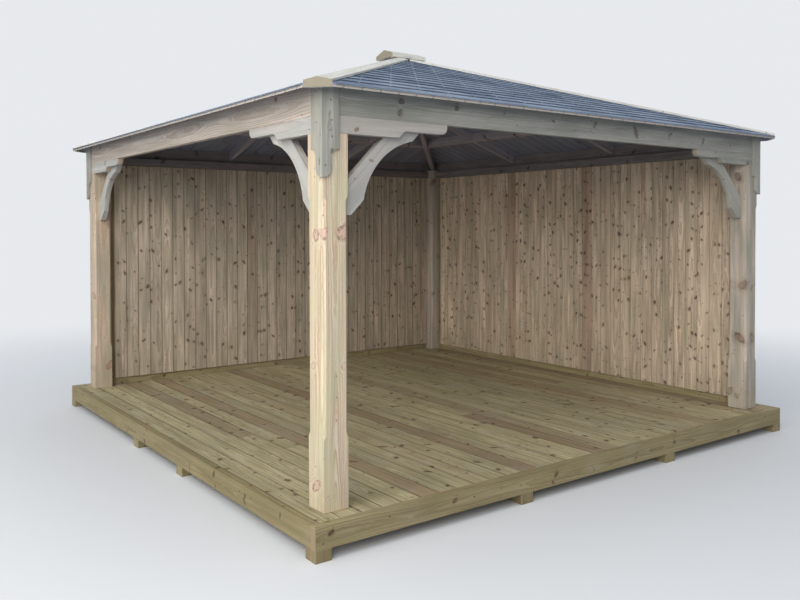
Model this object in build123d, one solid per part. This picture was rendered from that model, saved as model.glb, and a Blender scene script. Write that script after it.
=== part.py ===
from build123d import *
import math
import os

# Garden gazebo: four timber posts on a low deck, a ring of beams, two open
# sides with brackets and arched braces, two boarded sides, and a hipped roof
# of boards and shingles with timber caps on its hips and apex.
#
# Millimetres. X runs along the front, Y from the front to the back, Z up.
# The origin is on the ground under the centre of the roof. The front (-Y)
# and the left side (-X) are open, the back and the right side are boarded.

# Plan and heights
FRONT_WIDTH = 4030.0          # over the outer faces of the posts, along X
SIDE_DEPTH = 4030.0           # over the outer faces of the posts, along Y
HEADROOM = 2010.0             # deck to the underside of the beams
ROOF_PITCH = 18.5             # degrees, front and back slopes
EAVES_OVERHANG = 130.0        # roof boards past the outer faces of the posts

# Deck
STUB_HEIGHT = 60.0            # gap between the ground and the deck frame
STUB_SIZE = 95.0
DECK_FRAME_DEPTH = 120.0      # rim boards, flush with the top of the deck
DECK_BOARD_THICKNESS = 28.0
DECK_TIMBER = 45.0            # thickness of rim boards and joists
JOIST_SPACING = 420.0

# Posts
POST_SIZE = 150.0
POST_CHAMFER = 15.0           # stopped chamfer on each corner of the shaft
CHAMFER_START = 366.0         # above the deck
CHAMFER_END = 1605.0
CHAMFER_STOP = 26.0           # length of the sloping stop at each end
POST_SEAT_HEIGHT = 90.0       # top of the post core above the beam underside

# Beams, and the head rails of the boarded sides
BEAM_THICKNESS = 45.0
BEAM_FACE = 158.0             # outer face, up to the underside of the roof
HEAD_RAIL_DEPTH = 70.0
HEAD_RAIL_THICKNESS = 45.0

# Brackets under the beams of the open sides
BRACKET_LENGTH = 815.0        # from the corner of the post
BRACKET_DEPTH = 90.0
BRACKET_NOSE_DEPTH = 53.0
BRACKET_STEP = 480.0          # where the deep part ends
BRACKET_STEP_RADIUS = 30.0
BRACKET_NOSE_RADIUS = 38.0

# Arched braces behind the brackets
BRACE_THICKNESS = 45.0
BRACE_WIDTH = 146.0
BRACE_REACH = 496.0           # upper edge at the beam underside, from the corner
BRACE_DROP = 504.0            # foot below the beam underside
BRACE_LAP = 45.0              # head above the beam underside
BRACE_EAR_FOOT = 114.0        # uncut length of the long edge at the foot
BRACE_EAR_HEAD = 141.0        # uncut length of the long edge under the beam
BRACE_ARCH_RISE = 72.0

# Shaped boards on the outer corners of the posts
CORNER_BOARD = 18.0
CORNER_BOARD_WIDTH = 88.0     # on the face of the post
CORNER_BOARD_NECK = 43.0      # width below the cove
CORNER_BOARD_DROP = 317.0     # tip below the beam underside
CORNER_BOARD_TIP_RADIUS = 52.0
CORNER_BOARD_COVE_RISE = 106.0  # bottom of the cove above the tip
CORNER_BOARD_FILLET = 7.0     # square step above the cove

# Boarded sides
WALL_BOARD = 20.0
WALL_FOOT_GAP = 57.0          # deck to the lower ends of the boards
WALL_SIDE_GAP = 50.0          # slot between the last board and the post
WALL_FRAME = 45.0             # thickness of stiles and rails
WALL_STILE = 70.0             # width, so that it closes the slot from behind
WALL_RAIL = 95.0              # height of the foot and middle rails
MIDDLE_RAIL_HEIGHT = 1000.0   # underside above the deck

# Roof frame
HIP_WIDTH = 45.0
HIP_DEPTH = 95.0              # plumb, at the centre line
RAFTER_WIDTH = 45.0
RAFTER_DEPTH = 74.0           # plumb
RAFTER_OFFSET = 640.0         # from the middle of the slope
NOGGING_DISTANCE = 1395.0     # from the middle of the roof, level
APEX_BLOCK = 100.0
APEX_BLOCK_DROP = 40.0        # below the hips

# Roof covering
ROOF_BOARD = 16.0
SHINGLE = 6.0
SHINGLE_LIP = 10.0            # shingles past the ends of the roof boards
HIP_CAP_WIDTH = 146.0
HIP_CAP = 14.0                # over the shingles, square to the slope
HIP_CAP_NOSE = 20.0           # closed outer end, in front of the roof boards
HIP_CAP_HEAD_GAP = 82.0       # head of a hip cap to the middle of the roof
RIDGE_CAP_LENGTH = 350.0
RIDGE_CAP_WIDTH = 236.0
RIDGE_CAP_SIDE = 32.0
RIDGE_CAP_LIFT = 20.0         # lower edge above the shingles beside it

# Levels and angles that follow from the sizes above
DECK_TOP = STUB_HEIGHT + DECK_FRAME_DEPTH
BEAM_UNDERSIDE = DECK_TOP + HEADROOM
ROOF_DATUM = BEAM_UNDERSIDE + BEAM_FACE
ROOF_RISE = math.tan(math.radians(ROOF_PITCH)) * SIDE_DEPTH / 2
DECK_HALF_X = FRONT_WIDTH / 2 + EAVES_OVERHANG
DECK_HALF_Y = SIDE_DEPTH / 2 + EAVES_OVERHANG
FAR = 6000.0                  # larger than the whole gazebo, for cutters

SIDES = {
    "front": (0, -SIDE_DEPTH / 2, 0, FRONT_WIDTH / 2, SIDE_DEPTH / 2),
    "right": (FRONT_WIDTH / 2, 0, 90, SIDE_DEPTH / 2, FRONT_WIDTH / 2),
    "back": (0, SIDE_DEPTH / 2, 180, FRONT_WIDTH / 2, SIDE_DEPTH / 2),
    "left": (-FRONT_WIDTH / 2, 0, 270, SIDE_DEPTH / 2, FRONT_WIDTH / 2),
}
OPEN_SIDES = ("front", "left")
BOARDED_SIDES = ("back", "right")
CORNERS = {
    "front_left": (-1, -1),
    "front_right": (1, -1),
    "back_left": (-1, 1),
    "back_right": (1, 1),
}
nodes = {}


def half_length(side):
    """Half the length of a side, over the posts."""
    return SIDES[side][3]


def half_run(side):
    """Level distance from a side to the middle of the roof."""
    return SIDES[side][4]


def slope(side):
    """Rise of a roof slope for each millimetre of run."""
    return ROOF_RISE / half_run(side)


def on_side(side, shape):
    """Move a shape drawn for the front, with its face at y = 0, to a side."""
    x, y, angle, _, _ = SIDES[side]
    return Pos(x, y, 0) * Rot(0, 0, angle) * shape


def block(x0, x1, y0, y1, z0, z1):
    """A square-edged piece between two corners."""
    size = Box(abs(x1 - x0), abs(y1 - y0), abs(z1 - z0))
    return Pos((x0 + x1) / 2, (y0 + y1) / 2, (z0 + z1) / 2) * size


def face_xz(*edges):
    """A face in the XZ plane from edges or points given as (x, z)."""
    return Plane.XZ * make_face(Curve() + list(edges))


def bar_along_x(points, x0, x1):
    """A bar along X with a section given as (y, z) points."""
    section = Plane.YZ * make_face(Polyline(*points, close=True))
    return Pos(x0, 0, 0) * extrude(section, x1 - x0)


def under_roof(lift=0.0):
    """Everything below the four roof planes, raised plumb by a lift.

    Two long gables that cross leave the pyramid they share."""
    top = ROOF_DATUM + ROOF_RISE + lift
    across = {}
    for side in ("front", "right"):
        reach = (top - DECK_TOP) / slope(side)
        section = Polyline((-reach, DECK_TOP), (reach, DECK_TOP), (0, top), close=True)
        gable = extrude(Plane.YZ * make_face(section), FAR, both=True)
        across[side] = gable if side == "front" else Rot(0, 0, 90) * gable
    return across["front"] & across["right"]


def plumb(thickness, side="front"):
    """Plumb height of a layer that is measured square to the slope."""
    return thickness * math.sqrt(1 + slope(side) ** 2)


def slope_plan(side, inset, start):
    """The part of the plan that one slope covers, as a tall prism.

    It narrows to the middle of the roof between the two hips, held back
    from their centre lines by an inset, and starts at y = start."""
    length = half_length(side)
    run = half_run(side)
    side_step = inset * math.hypot(length, run) / run
    half = length * (1 - start / run) - side_step
    top = run * (1 - side_step / length)
    triangle = make_face(Polyline((-half, start), (half, start), (0, top), close=True))
    return extrude(triangle, FAR)


def hip_angle():
    """Direction of the hip from the middle to the back right corner."""
    return math.degrees(math.atan2(SIDE_DEPTH, FRONT_WIDTH))


def hip_turn(corner):
    """Turn about Z that brings the X axis to a corner's hip."""
    sx, sy = CORNERS[corner]
    return math.degrees(math.atan2(sy * SIDE_DEPTH, sx * FRONT_WIDTH))


def hip_end():
    """Middle of the roof to the square-cut end of a hip, level."""
    corner = math.hypot(FRONT_WIDTH / 2 + EAVES_OVERHANG, SIDE_DEPTH / 2 + EAVES_OVERHANG)
    return corner - HIP_CAP_WIDTH / 2


def corner_cut(corner):
    """What is cut from the roof at the square end of a hip cap.

    The whole corner goes, and a notch behind it for the nose of the cap."""
    end = hip_end()
    half = HIP_CAP_WIDTH / 2
    top = DECK_TOP + FAR
    cutter = block(end, end + HIP_CAP_WIDTH, -HIP_CAP_WIDTH, HIP_CAP_WIDTH, DECK_TOP, top)
    cutter += block(end - HIP_CAP_NOSE, end, -half, half, DECK_TOP, top)
    return Rot(0, 0, hip_turn(corner)) * cutter


def make_deck():
    """Stubs, joists, rim boards and the boarded floor."""
    inner_x = DECK_HALF_X - DECK_TIMBER
    inner_y = DECK_HALF_Y - DECK_TIMBER
    joist_count = max(2, round(2 * inner_y / JOIST_SPACING))
    step = 2 * inner_y / joist_count
    joist_rows = [-inner_y + step * i for i in range(1, joist_count)]
    joist_top = DECK_TOP - DECK_BOARD_THICKNESS
    half = DECK_TIMBER / 2

    nodes["deck_joists"] = [
        block(-inner_x, inner_x, y - half, y + half, STUB_HEIGHT, joist_top)
        for y in joist_rows
    ]
    nodes["deck_rims_long"] = [
        block(-DECK_HALF_X, DECK_HALF_X, s * inner_y, s * DECK_HALF_Y, STUB_HEIGHT, DECK_TOP)
        for s in (-1, 1)
    ]
    nodes["deck_rims_short"] = [
        block(s * inner_x, s * DECK_HALF_X, -inner_y, inner_y, STUB_HEIGHT, DECK_TOP)
        for s in (-1, 1)
    ]
    nodes["deck_boards"] = [
        block(-inner_x, inner_x, -inner_y, inner_y, joist_top, DECK_TOP)
    ]

    edge = STUB_SIZE / 2
    outer_x = DECK_HALF_X - edge
    outer_y = DECK_HALF_Y - edge
    inner_rows = [joist_rows[len(joist_rows) // 3], joist_rows[-1 - len(joist_rows) // 3]]
    nodes["deck_stubs"] = [
        block(x - edge, x + edge, y - edge, y + edge, 0, STUB_HEIGHT)
        for x in (-outer_x, -outer_x / 3, outer_x / 3, outer_x)
        for y in [-outer_y] + inner_rows + [outer_y]
    ]


def post_chamfers():
    """Cutters for the stopped chamfers on the four corners of a post."""
    bite = POST_CHAMFER / math.sqrt(2)
    low = DECK_TOP + CHAMFER_START
    high = DECK_TOP + CHAMFER_END
    corner = POST_SIZE / math.sqrt(2)
    section = Polyline(
        (corner + bite, low - CHAMFER_STOP),
        (corner - bite, low + CHAMFER_STOP),
        (corner - bite, high - CHAMFER_STOP),
        (corner + bite, high + CHAMFER_STOP),
        close=True,
    )
    cutter = extrude(Plane.XZ * make_face(section), POST_SIZE / 2, both=True)
    return [Rot(0, 0, 45 + 90 * i) * cutter for i in range(4)]


def make_posts():
    """Square posts, notched for the beams and brackets they carry."""
    core_top = BEAM_UNDERSIDE + POST_SEAT_HEIGHT
    for corner, (sx, sy) in CORNERS.items():
        x = sx * (FRONT_WIDTH - POST_SIZE) / 2
        y = sy * (SIDE_DEPTH - POST_SIZE) / 2
        half = POST_SIZE / 2
        post = block(-half, half, -half, half, DECK_TOP, core_top)
        for cutter in post_chamfers():
            post -= cutter
        across = "left" if sx < 0 else "right"
        along = "front" if sy < 0 else "back"
        notch_x = BEAM_UNDERSIDE - (BRACKET_DEPTH if across in OPEN_SIDES else 0)
        notch_y = BEAM_UNDERSIDE - (BRACKET_DEPTH if along in OPEN_SIDES else 0)
        step = half - BEAM_THICKNESS
        post -= block(sx * step, sx * POST_SIZE, -POST_SIZE, POST_SIZE, notch_x, core_top + 1)
        post -= block(-POST_SIZE, POST_SIZE, sy * step, sy * POST_SIZE, notch_y, core_top + 1)
        nodes["post_" + corner] = [Pos(x, y, 0) * post]


def make_beams(roof):
    """The ring of beams, bevelled on top to the slope of the roof."""
    for side in SIDES:
        top = ROOF_DATUM + BEAM_THICKNESS * slope(side)
        end = half_length(side)
        if side in ("left", "right"):
            end -= BEAM_THICKNESS
        section = [
            (0, BEAM_UNDERSIDE),
            (BEAM_THICKNESS, BEAM_UNDERSIDE),
            (BEAM_THICKNESS, top),
            (0, ROOF_DATUM),
        ]
        nodes["beam_" + side] = [on_side(side, bar_along_x(section, -end, end)) & roof]


def bracket(start):
    """A bracket from x = start to its nose, with the post corner at x = 0."""
    top = BEAM_UNDERSIDE
    deep = top - BRACKET_DEPTH
    nose = top - BRACKET_NOSE_DEPTH
    rise = nose - deep
    outline = Polyline(
        (start, top), (start, deep), (BRACKET_STEP, deep), (BRACKET_STEP + rise, nose),
        (BRACKET_LENGTH, nose), (BRACKET_LENGTH, top), close=True,
    )
    face = make_face(outline)
    inner = face.vertices().sort_by_distance((BRACKET_STEP + rise, nose, 0))[0]
    face = fillet(inner, BRACKET_STEP_RADIUS)
    tip = face.vertices().sort_by_distance((BRACKET_LENGTH, nose, 0))[0]
    face = fillet(tip, BRACKET_NOSE_RADIUS)
    return extrude(Plane.XZ * face, -BEAM_THICKNESS)


def brace():
    """An arched brace at 45 degrees, with the post corner at x = 0."""
    beam = BEAM_UNDERSIDE
    upper = beam - BRACE_REACH
    lower = upper - BRACE_WIDTH * math.sqrt(2)
    foot = beam - BRACE_DROP
    head = beam + BRACE_LAP
    foot_ear = foot - lower + BRACE_EAR_FOOT / math.sqrt(2)
    head_ear = beam - lower - BRACE_EAR_HEAD / math.sqrt(2)
    middle = (foot_ear + head_ear) / 2
    shift = BRACE_ARCH_RISE / math.sqrt(2)
    start = (foot_ear, foot_ear + lower)
    end = (head_ear, head_ear + lower)
    crown = (middle - shift, middle + lower + shift)
    outline = Curve() + [
        Polyline(end, (head - lower, head), (head - upper, head),
                 (POST_SIZE, POST_SIZE + upper), (POST_SIZE, foot), (foot - lower, foot), start),
        ThreePointArc(start, crown, end),
    ]
    solid = extrude(Plane.XZ * make_face(outline), -BRACE_THICKNESS)
    return Pos(0, BEAM_THICKNESS, 0) * solid


def make_brackets_and_braces():
    """Two of each on every open side, one at each post."""
    for side in OPEN_SIDES:
        butt = BEAM_THICKNESS if side in ("left", "right") else 0
        for end, sign in (("west", -1), ("east", 1)):
            corner = Pos(-half_length(side), 0, 0)
            wood = {"bracket": corner * bracket(butt), "brace": corner * brace()}
            for kind, shape in wood.items():
                if sign > 0:
                    shape = mirror(shape, about=Plane.YZ)
                nodes[f"{kind}_{side}_{end}"] = [on_side(side, shape)]


def corner_board(lap):
    """A shaped board on the face of a post whose corner is at x = 0.

    It is drawn as wide as one that covers its neighbour's edge, and then
    cut to its own lap past the corner."""
    tip = BEAM_UNDERSIDE - CORNER_BOARD_DROP
    top = ROOF_DATUM + CORNER_BOARD
    radius = CORNER_BOARD_TIP_RADIUS
    neck = CORNER_BOARD_NECK
    centre = neck - radius
    turn = radius / math.sqrt(2)
    cove = CORNER_BOARD_WIDTH - CORNER_BOARD_FILLET - neck
    bow = cove / math.sqrt(2)
    cove_low = tip + CORNER_BOARD_COVE_RISE
    cove_high = cove_low + cove
    outline = Curve() + [
        ThreePointArc((centre, tip), (centre + turn, tip + radius - turn), (neck, tip + radius)),
        Line((neck, tip + radius), (neck, cove_low)),
        ThreePointArc(
            (neck, cove_low),
            (neck + cove - bow, cove_low + bow),
            (neck + cove, cove_high),
        ),
        Polyline(
            (neck + cove, cove_high), (CORNER_BOARD_WIDTH, cove_high), (CORNER_BOARD_WIDTH, top),
            (-CORNER_BOARD, top), (-CORNER_BOARD, tip), (centre, tip),
        ),
    ]
    board = extrude(Plane.XZ * make_face(outline), CORNER_BOARD)
    return board & block(-lap, CORNER_BOARD_WIDTH, -CORNER_BOARD, 0, tip, top)


def make_corner_boards(roof):
    """A pair on each side: those of the front and back cover the others."""
    for side in SIDES:
        lap = CORNER_BOARD if side in ("front", "back") else 0
        board = Pos(-half_length(side), 0, 0) * corner_board(lap)
        pair = [board, mirror(board, about=Plane.YZ)]
        nodes["corner_boards_" + side] = [on_side(side, piece) & roof for piece in pair]


def make_walls():
    """Framed boarding between the posts of the back and the right side."""
    stiles = []
    rails = []
    heads = []
    for side in BOARDED_SIDES:
        inner = half_length(side) - POST_SIZE
        clear = inner - WALL_STILE
        for sign in (-1, 1):
            stile = block(sign * clear, sign * inner, 0, WALL_FRAME, DECK_TOP, BEAM_UNDERSIDE)
            stiles.append(on_side(side, stile))
        for low in (0, MIDDLE_RAIL_HEIGHT):
            z = DECK_TOP + low
            rails.append(on_side(side, block(-clear, clear, 0, WALL_FRAME, z, z + WALL_RAIL)))
        back = BEAM_THICKNESS + HEAD_RAIL_THICKNESS
        high = BEAM_UNDERSIDE + HEAD_RAIL_DEPTH
        head = block(-inner, inner, BEAM_THICKNESS, back, BEAM_UNDERSIDE, high)
        heads.append(on_side(side, head))
        boards = block(-inner, inner - WALL_SIDE_GAP, WALL_FRAME, WALL_FRAME + WALL_BOARD,
                       DECK_TOP + WALL_FOOT_GAP, BEAM_UNDERSIDE)
        nodes["wall_boards_" + side] = [on_side(side, boards)]
    nodes["wall_stiles"] = stiles
    nodes["wall_rails"] = rails
    nodes["wall_head_rails"] = heads


def apex_block():
    """The block in the middle that the hips lean on, square to them."""
    size = APEX_BLOCK / 2
    top = ROOF_DATUM + ROOF_RISE
    low = top - HIP_DEPTH - APEX_BLOCK_DROP
    return Rot(0, 0, hip_angle()) * block(-size, size, -size, size, low, top)


def make_roof_frame(roof):
    """Hips, jack rafters and noggings, all cut under the roof planes."""
    apex = apex_block()
    nodes["apex_block"] = [apex & roof]

    lowered = under_roof(-HIP_DEPTH)
    beams = block(-FRONT_WIDTH / 2 + BEAM_THICKNESS, FRONT_WIDTH / 2 - BEAM_THICKNESS,
                  -SIDE_DEPTH / 2 + BEAM_THICKNESS, SIDE_DEPTH / 2 - BEAM_THICKNESS,
                  BEAM_UNDERSIDE + POST_SEAT_HEIGHT, DECK_TOP + FAR)
    shell = (roof & beams) - apex
    for corner in CORNERS:
        band = block(0, hip_end(), -HIP_WIDTH / 2, HIP_WIDTH / 2, DECK_TOP, DECK_TOP + FAR)
        band = Rot(0, 0, hip_turn(corner)) * band
        nodes["hip_" + corner] = [(shell & band) - hip_underside(corner, lowered)]

    rafters = []
    noggings = []
    for side in SIDES:
        rise = slope(side)
        run = half_run(side)
        clear = slope_plan(side, HIP_WIDTH / 2, -EAVES_OVERHANG)
        half = RAFTER_WIDTH / 2

        def underside(y):
            return ROOF_DATUM + y * rise - RAFTER_DEPTH

        section = [
            (BEAM_THICKNESS, underside(BEAM_THICKNESS)),
            (run, underside(run)),
            (run, underside(run) + RAFTER_DEPTH),
            (BEAM_THICKNESS, underside(BEAM_THICKNESS) + RAFTER_DEPTH),
        ]
        for sign in (-1, 1):
            middle = sign * RAFTER_OFFSET
            rafter = bar_along_x(section, middle - half, middle + half) & clear
            rafters.append(on_side(side, rafter))

        near = run - NOGGING_DISTANCE - half
        far = near + RAFTER_WIDTH
        section = [
            (near, underside(near)),
            (far, underside(far)),
            (far, underside(far) + RAFTER_DEPTH),
            (near, underside(near) + RAFTER_DEPTH),
        ]
        inner = RAFTER_OFFSET - half
        outer = RAFTER_OFFSET + half
        for x0, x1 in ((-half_length(side), -outer), (-inner, inner), (outer, half_length(side))):
            noggings.append(on_side(side, bar_along_x(section, x0, x1) & clear))
    nodes["jack_rafters"] = rafters
    nodes["noggings"] = noggings


def hip_underside(corner, lowered):
    """The space below a hip: the roof lowered by the depth of the hip.

    The lowered planes meet on the hip's centre line, so the underside is
    cut level across the hip through that line."""
    rise = ROOF_RISE / math.hypot(FRONT_WIDTH / 2, SIDE_DEPTH / 2)
    reach = hip_end()
    top = ROOF_DATUM + ROOF_RISE - HIP_DEPTH
    section = Polyline(
        (0, DECK_TOP), (reach, DECK_TOP), (reach, top - reach * rise), (0, top), close=True,
    )
    wedge = extrude(Plane.XZ * make_face(section), HIP_WIDTH, both=True)
    return Rot(0, 0, hip_turn(corner)) * wedge


def layer(side, low, high, start):
    """One slope's sheet of covering between two plumb lifts."""
    run = half_run(side)
    rise = slope(side)
    section = [
        (start, ROOF_DATUM + start * rise + low),
        (run, ROOF_DATUM + run * rise + low),
        (run, ROOF_DATUM + run * rise + high),
        (start, ROOF_DATUM + start * rise + high),
    ]
    sheet = bar_along_x(section, -FAR / 2, FAR / 2) & slope_plan(side, 0, start)
    sheet = on_side(side, sheet)
    for corner in CORNERS:
        sheet -= corner_cut(corner)
    return sheet


def hip_cap(corner, underside, top):
    """A cap that lies on the shingles, with a flat-bottomed nose.

    The nose comes down in front of the boards to the level of the eaves."""
    half = HIP_CAP_WIDTH / 2
    end = hip_end()
    eaves = ROOF_DATUM - EAVES_OVERHANG * max(slope("front"), slope("right"))
    outside = under_roof(top)
    band = block(HIP_CAP_HEAD_GAP, end, -half, half, DECK_TOP, DECK_TOP + FAR)
    nose = block(end - HIP_CAP_NOSE, end, -half, half, eaves, DECK_TOP + FAR)
    turn = Rot(0, 0, hip_turn(corner))
    return (outside & (turn * band)) - under_roof(underside) + (outside & (turn * nose))


def make_covering():
    """Roof boards, shingles, hip caps and the cap on the apex."""
    for side in SIDES:
        boards = plumb(ROOF_BOARD, side)
        top = boards + plumb(SHINGLE, side)
        nodes["roof_boards_" + side] = [layer(side, 0, boards, -EAVES_OVERHANG)]
        nodes["shingles_" + side] = [layer(side, boards, top, -EAVES_OVERHANG - SHINGLE_LIP)]

    shingle_top = plumb(ROOF_BOARD) + plumb(SHINGLE)
    cap_top = shingle_top + plumb(HIP_CAP)
    nodes["hip_caps"] = [hip_cap(corner, shingle_top, cap_top) for corner in CORNERS]

    width = RIDGE_CAP_WIDTH / 2
    low = ROOF_DATUM + ROOF_RISE + shingle_top - width * slope("front") + RIDGE_CAP_LIFT
    high = low + RIDGE_CAP_SIDE
    section = [
        (-width, low), (width, low), (width, high),
        (0, high + width * slope("front")), (-width, high),
    ]
    cap = bar_along_x(section, -RIDGE_CAP_LENGTH / 2, RIDGE_CAP_LENGTH / 2)
    nodes["ridge_cap"] = [cap - under_roof(cap_top)]


def write_parts():
    """Write each node as one STEP file."""
    os.makedirs("parts", exist_ok=True)
    for name, shapes in nodes.items():
        solids = [solid for shape in shapes for solid in shape.solids()]
        whole = solids[0] if len(solids) == 1 else Compound(children=solids)
        export_step(whole, f"parts/{name}.step")
        print(name, len(solids), "solids", round(sum(s.volume for s in solids) / 1e6, 2), "litres")


def main():
    roof = under_roof()
    make_deck()
    make_posts()
    make_beams(roof)
    make_brackets_and_braces()
    make_corner_boards(roof)
    make_walls()
    make_roof_frame(roof)
    make_covering()
    write_parts()


main()
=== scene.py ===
# %% [markdown]
# # A timber garden gazebo
#
# The gazebo is a frame of square pine posts and beams with a hipped roof of boards and shingles.
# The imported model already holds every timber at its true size, so this notebook only dresses it:
# it rounds the arrises, lays real boards, shingles and screws over the plain sheets, and gives each
# finish its own procedural material. The frame is loaded first, because every size below is read from it.

# %% Load the frame
import math
from functools import partialmethod

import bmesh
import bpy
import numpy as np
from mathutils import Matrix, Vector


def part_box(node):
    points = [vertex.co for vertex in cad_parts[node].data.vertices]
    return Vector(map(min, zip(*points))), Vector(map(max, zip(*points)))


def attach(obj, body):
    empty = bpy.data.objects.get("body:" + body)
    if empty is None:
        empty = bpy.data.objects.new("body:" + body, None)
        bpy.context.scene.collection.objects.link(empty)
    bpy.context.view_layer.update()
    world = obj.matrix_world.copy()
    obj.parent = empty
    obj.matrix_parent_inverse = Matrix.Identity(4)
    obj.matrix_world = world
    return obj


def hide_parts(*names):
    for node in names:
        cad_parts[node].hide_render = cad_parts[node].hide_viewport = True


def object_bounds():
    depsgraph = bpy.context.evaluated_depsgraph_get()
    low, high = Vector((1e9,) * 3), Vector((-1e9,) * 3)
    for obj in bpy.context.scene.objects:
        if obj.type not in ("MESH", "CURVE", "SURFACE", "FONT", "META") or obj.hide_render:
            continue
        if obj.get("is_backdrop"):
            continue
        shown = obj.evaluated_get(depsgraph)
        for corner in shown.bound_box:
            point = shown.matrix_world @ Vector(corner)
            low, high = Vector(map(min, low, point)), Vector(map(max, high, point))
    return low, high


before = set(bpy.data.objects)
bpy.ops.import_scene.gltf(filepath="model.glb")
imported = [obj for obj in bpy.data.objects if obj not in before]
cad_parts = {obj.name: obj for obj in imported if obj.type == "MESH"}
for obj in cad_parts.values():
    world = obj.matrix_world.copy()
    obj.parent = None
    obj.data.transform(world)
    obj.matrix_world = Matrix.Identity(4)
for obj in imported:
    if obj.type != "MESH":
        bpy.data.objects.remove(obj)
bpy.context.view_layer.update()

rng = np.random.default_rng(20)

# %% [markdown]
# ## The camera
#
# The viewer stands outside the near left corner at a little over eye height and looks almost level,
# with the two open sides in view. A level camera keeps the posts upright in the picture. A shift
# frames the gazebo instead of a tilt, just as a view camera does.

# %% Camera
CAMERA_PLACE = Vector((-4.1286, -5.4522, 1.6303))
CAMERA_YAW = math.radians(35.954)
CAMERA_PITCH = math.radians(0.976)
CAMERA_ROLL = math.radians(-0.114)
LENS = 36.2
SHIFT_RIGHT = 0.01925
SHIFT_DOWN = 0.0756

camera_data = bpy.data.cameras.new("viewer")
camera = bpy.data.objects.new("viewer", camera_data)
bpy.context.scene.collection.objects.link(camera)
bpy.context.scene.camera = camera
camera_data.lens = LENS
camera_data.shift_x = SHIFT_RIGHT
camera_data.shift_y = -SHIFT_DOWN
camera.matrix_world = (
    Matrix.Translation(CAMERA_PLACE)
    @ Matrix.Rotation(-CAMERA_YAW, 4, "Z")
    @ Matrix.Rotation(math.radians(90) - CAMERA_PITCH, 4, "X")
    @ Matrix.Rotation(CAMERA_ROLL, 4, "Z")
)
print("camera height", round(CAMERA_PLACE.z, 2), "m, lens", LENS, "mm")

# %% [markdown]
# ## Sizes read from the frame
#
# The levels and the roof planes are needed again and again, so they are measured once. Each roof
# slope is worked on as if it were the front one and then turned about the middle of the plan, in
# steps of a quarter turn. That is how a carpenter would use one pattern for all four sides.

# %% Levels and roof planes
QUARTER_TURNS = {"front": 0, "right": 1, "back": 2, "left": 3}
ROOF_PITCH = math.radians(18.5)
RISE = math.tan(ROOF_PITCH)
HIP_RISE = RISE / math.sqrt(2)
HIP_CAP_WIDTH = 0.146
CAP_COVERS = 0.002

deck_low, deck_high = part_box("deck_boards")
deck_top = deck_high.z
deck_thickness = deck_high.z - deck_low.z
beam_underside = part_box("beam_front")[0].z
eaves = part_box("roof_boards_front")[0]
shingle_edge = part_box("shingles_front")[0].y
hip_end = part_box("hip_caps")[1].x * math.sqrt(2) - HIP_CAP_WIDTH / 2 - CAP_COVERS
half_span = hip_end / math.sqrt(2)


def turned(side):
    """The turn that brings a piece made for the front to another side."""
    return Matrix.Rotation(QUARTER_TURNS[side] * math.pi / 2, 4, "Z")


def slope_frame(side, lift=0.0):
    """Axes on a slope: x across, y up the slope and z square to it, from the middle of the eaves."""
    start = Vector((0, eaves.y, eaves.z + lift / math.cos(ROOF_PITCH)))
    return turned(side) @ Matrix.Translation(start) @ Matrix.Rotation(ROOF_PITCH, 4, "X")


def along_the_eaves(centre):
    """The level direction of the side that a point lies on."""
    return Vector((1, 0, 0)) if abs(centre[1]) > abs(centre[0]) else Vector((0, 1, 0))


slope_length = abs(eaves.y) / math.cos(ROOF_PITCH)
print("deck top", round(deck_top, 3), "beam underside", round(beam_underside, 3))
print("slope length", round(slope_length, 3), "square cut of a hip", round(hip_end, 3), "from the middle")

# %% [markdown]
# ## Bench tools
#
# Modelling operators act on everything that is selected, so each helper deselects first and then
# works on one piece. Faces, edges and corners are picked in code by where they are, which is what a
# hand would do with a click.

# %% Selection and primitives
TINY = 1e-5
SQUARE_ON = 0.99


def alone(piece):
    """Make one object the only selected and the active one."""
    if bpy.context.object and bpy.context.object.mode != "OBJECT":
        enter("OBJECT")
    clear()
    piece.select_set(True)
    bpy.context.view_layer.objects.active = piece
    return piece


def enter(mode):
    """Switch the active object to EDIT or OBJECT mode."""
    bpy.ops.object.mode_set(mode=mode)


def clear():
    """Deselect every object."""
    bpy.ops.object.select_all(action="DESELECT")


def everything():
    """Select the whole mesh in edit mode."""
    bpy.ops.mesh.select_all(action="SELECT")


def push(*way):
    """Extrude the selected faces and move them by a vector."""
    bpy.ops.mesh.extrude_region_move(TRANSFORM_OT_translate={"value": way})


def bevel(size, segments=1):
    """Bevel the selected edges."""
    bpy.ops.mesh.bevel(offset=size, segments=segments, affect="EDGES")


def shift(*way):
    """Move the selected corners by a vector."""
    bpy.ops.transform.translate(value=way)


def face_outwards():
    """Let all faces of a closed mesh look outwards."""
    everything()
    bpy.ops.mesh.normals_make_consistent(inside=False)


def settle():
    """Move the place, turn and scale of the active object into its mesh."""
    bpy.ops.object.transform_apply(location=True, rotation=True, scale=True)


def block(name, low, high):
    """A cube primitive between two corners, with its place in its mesh."""
    clear()
    low, high = Vector(low), Vector(high)
    bpy.ops.mesh.primitive_cube_add(size=1, location=(low + high) / 2, scale=high - low)
    piece = bpy.context.object
    piece.name = name
    settle()
    return piece


def pick(piece, kind, test):
    """In edit mode, select only the faces, edges or verts whose place passes the test."""
    bpy.ops.mesh.select_all(action="DESELECT")
    bpy.ops.mesh.select_mode(type={"faces": "FACE", "edges": "EDGE", "verts": "VERT"}[kind])
    mesh = bmesh.from_edit_mesh(piece.data)
    for item in getattr(mesh, kind):
        item.select_set(bool(test(item)))
    mesh.select_flush_mode()
    bmesh.update_edit_mesh(piece.data)


def edge_at(test):
    """A test for edges that holds when both of their ends pass."""
    return lambda edge: all(test(v.co) for v in edge.verts)


def near(a, b):
    """Whether two lengths are the same."""
    return abs(a - b) < TINY


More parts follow.
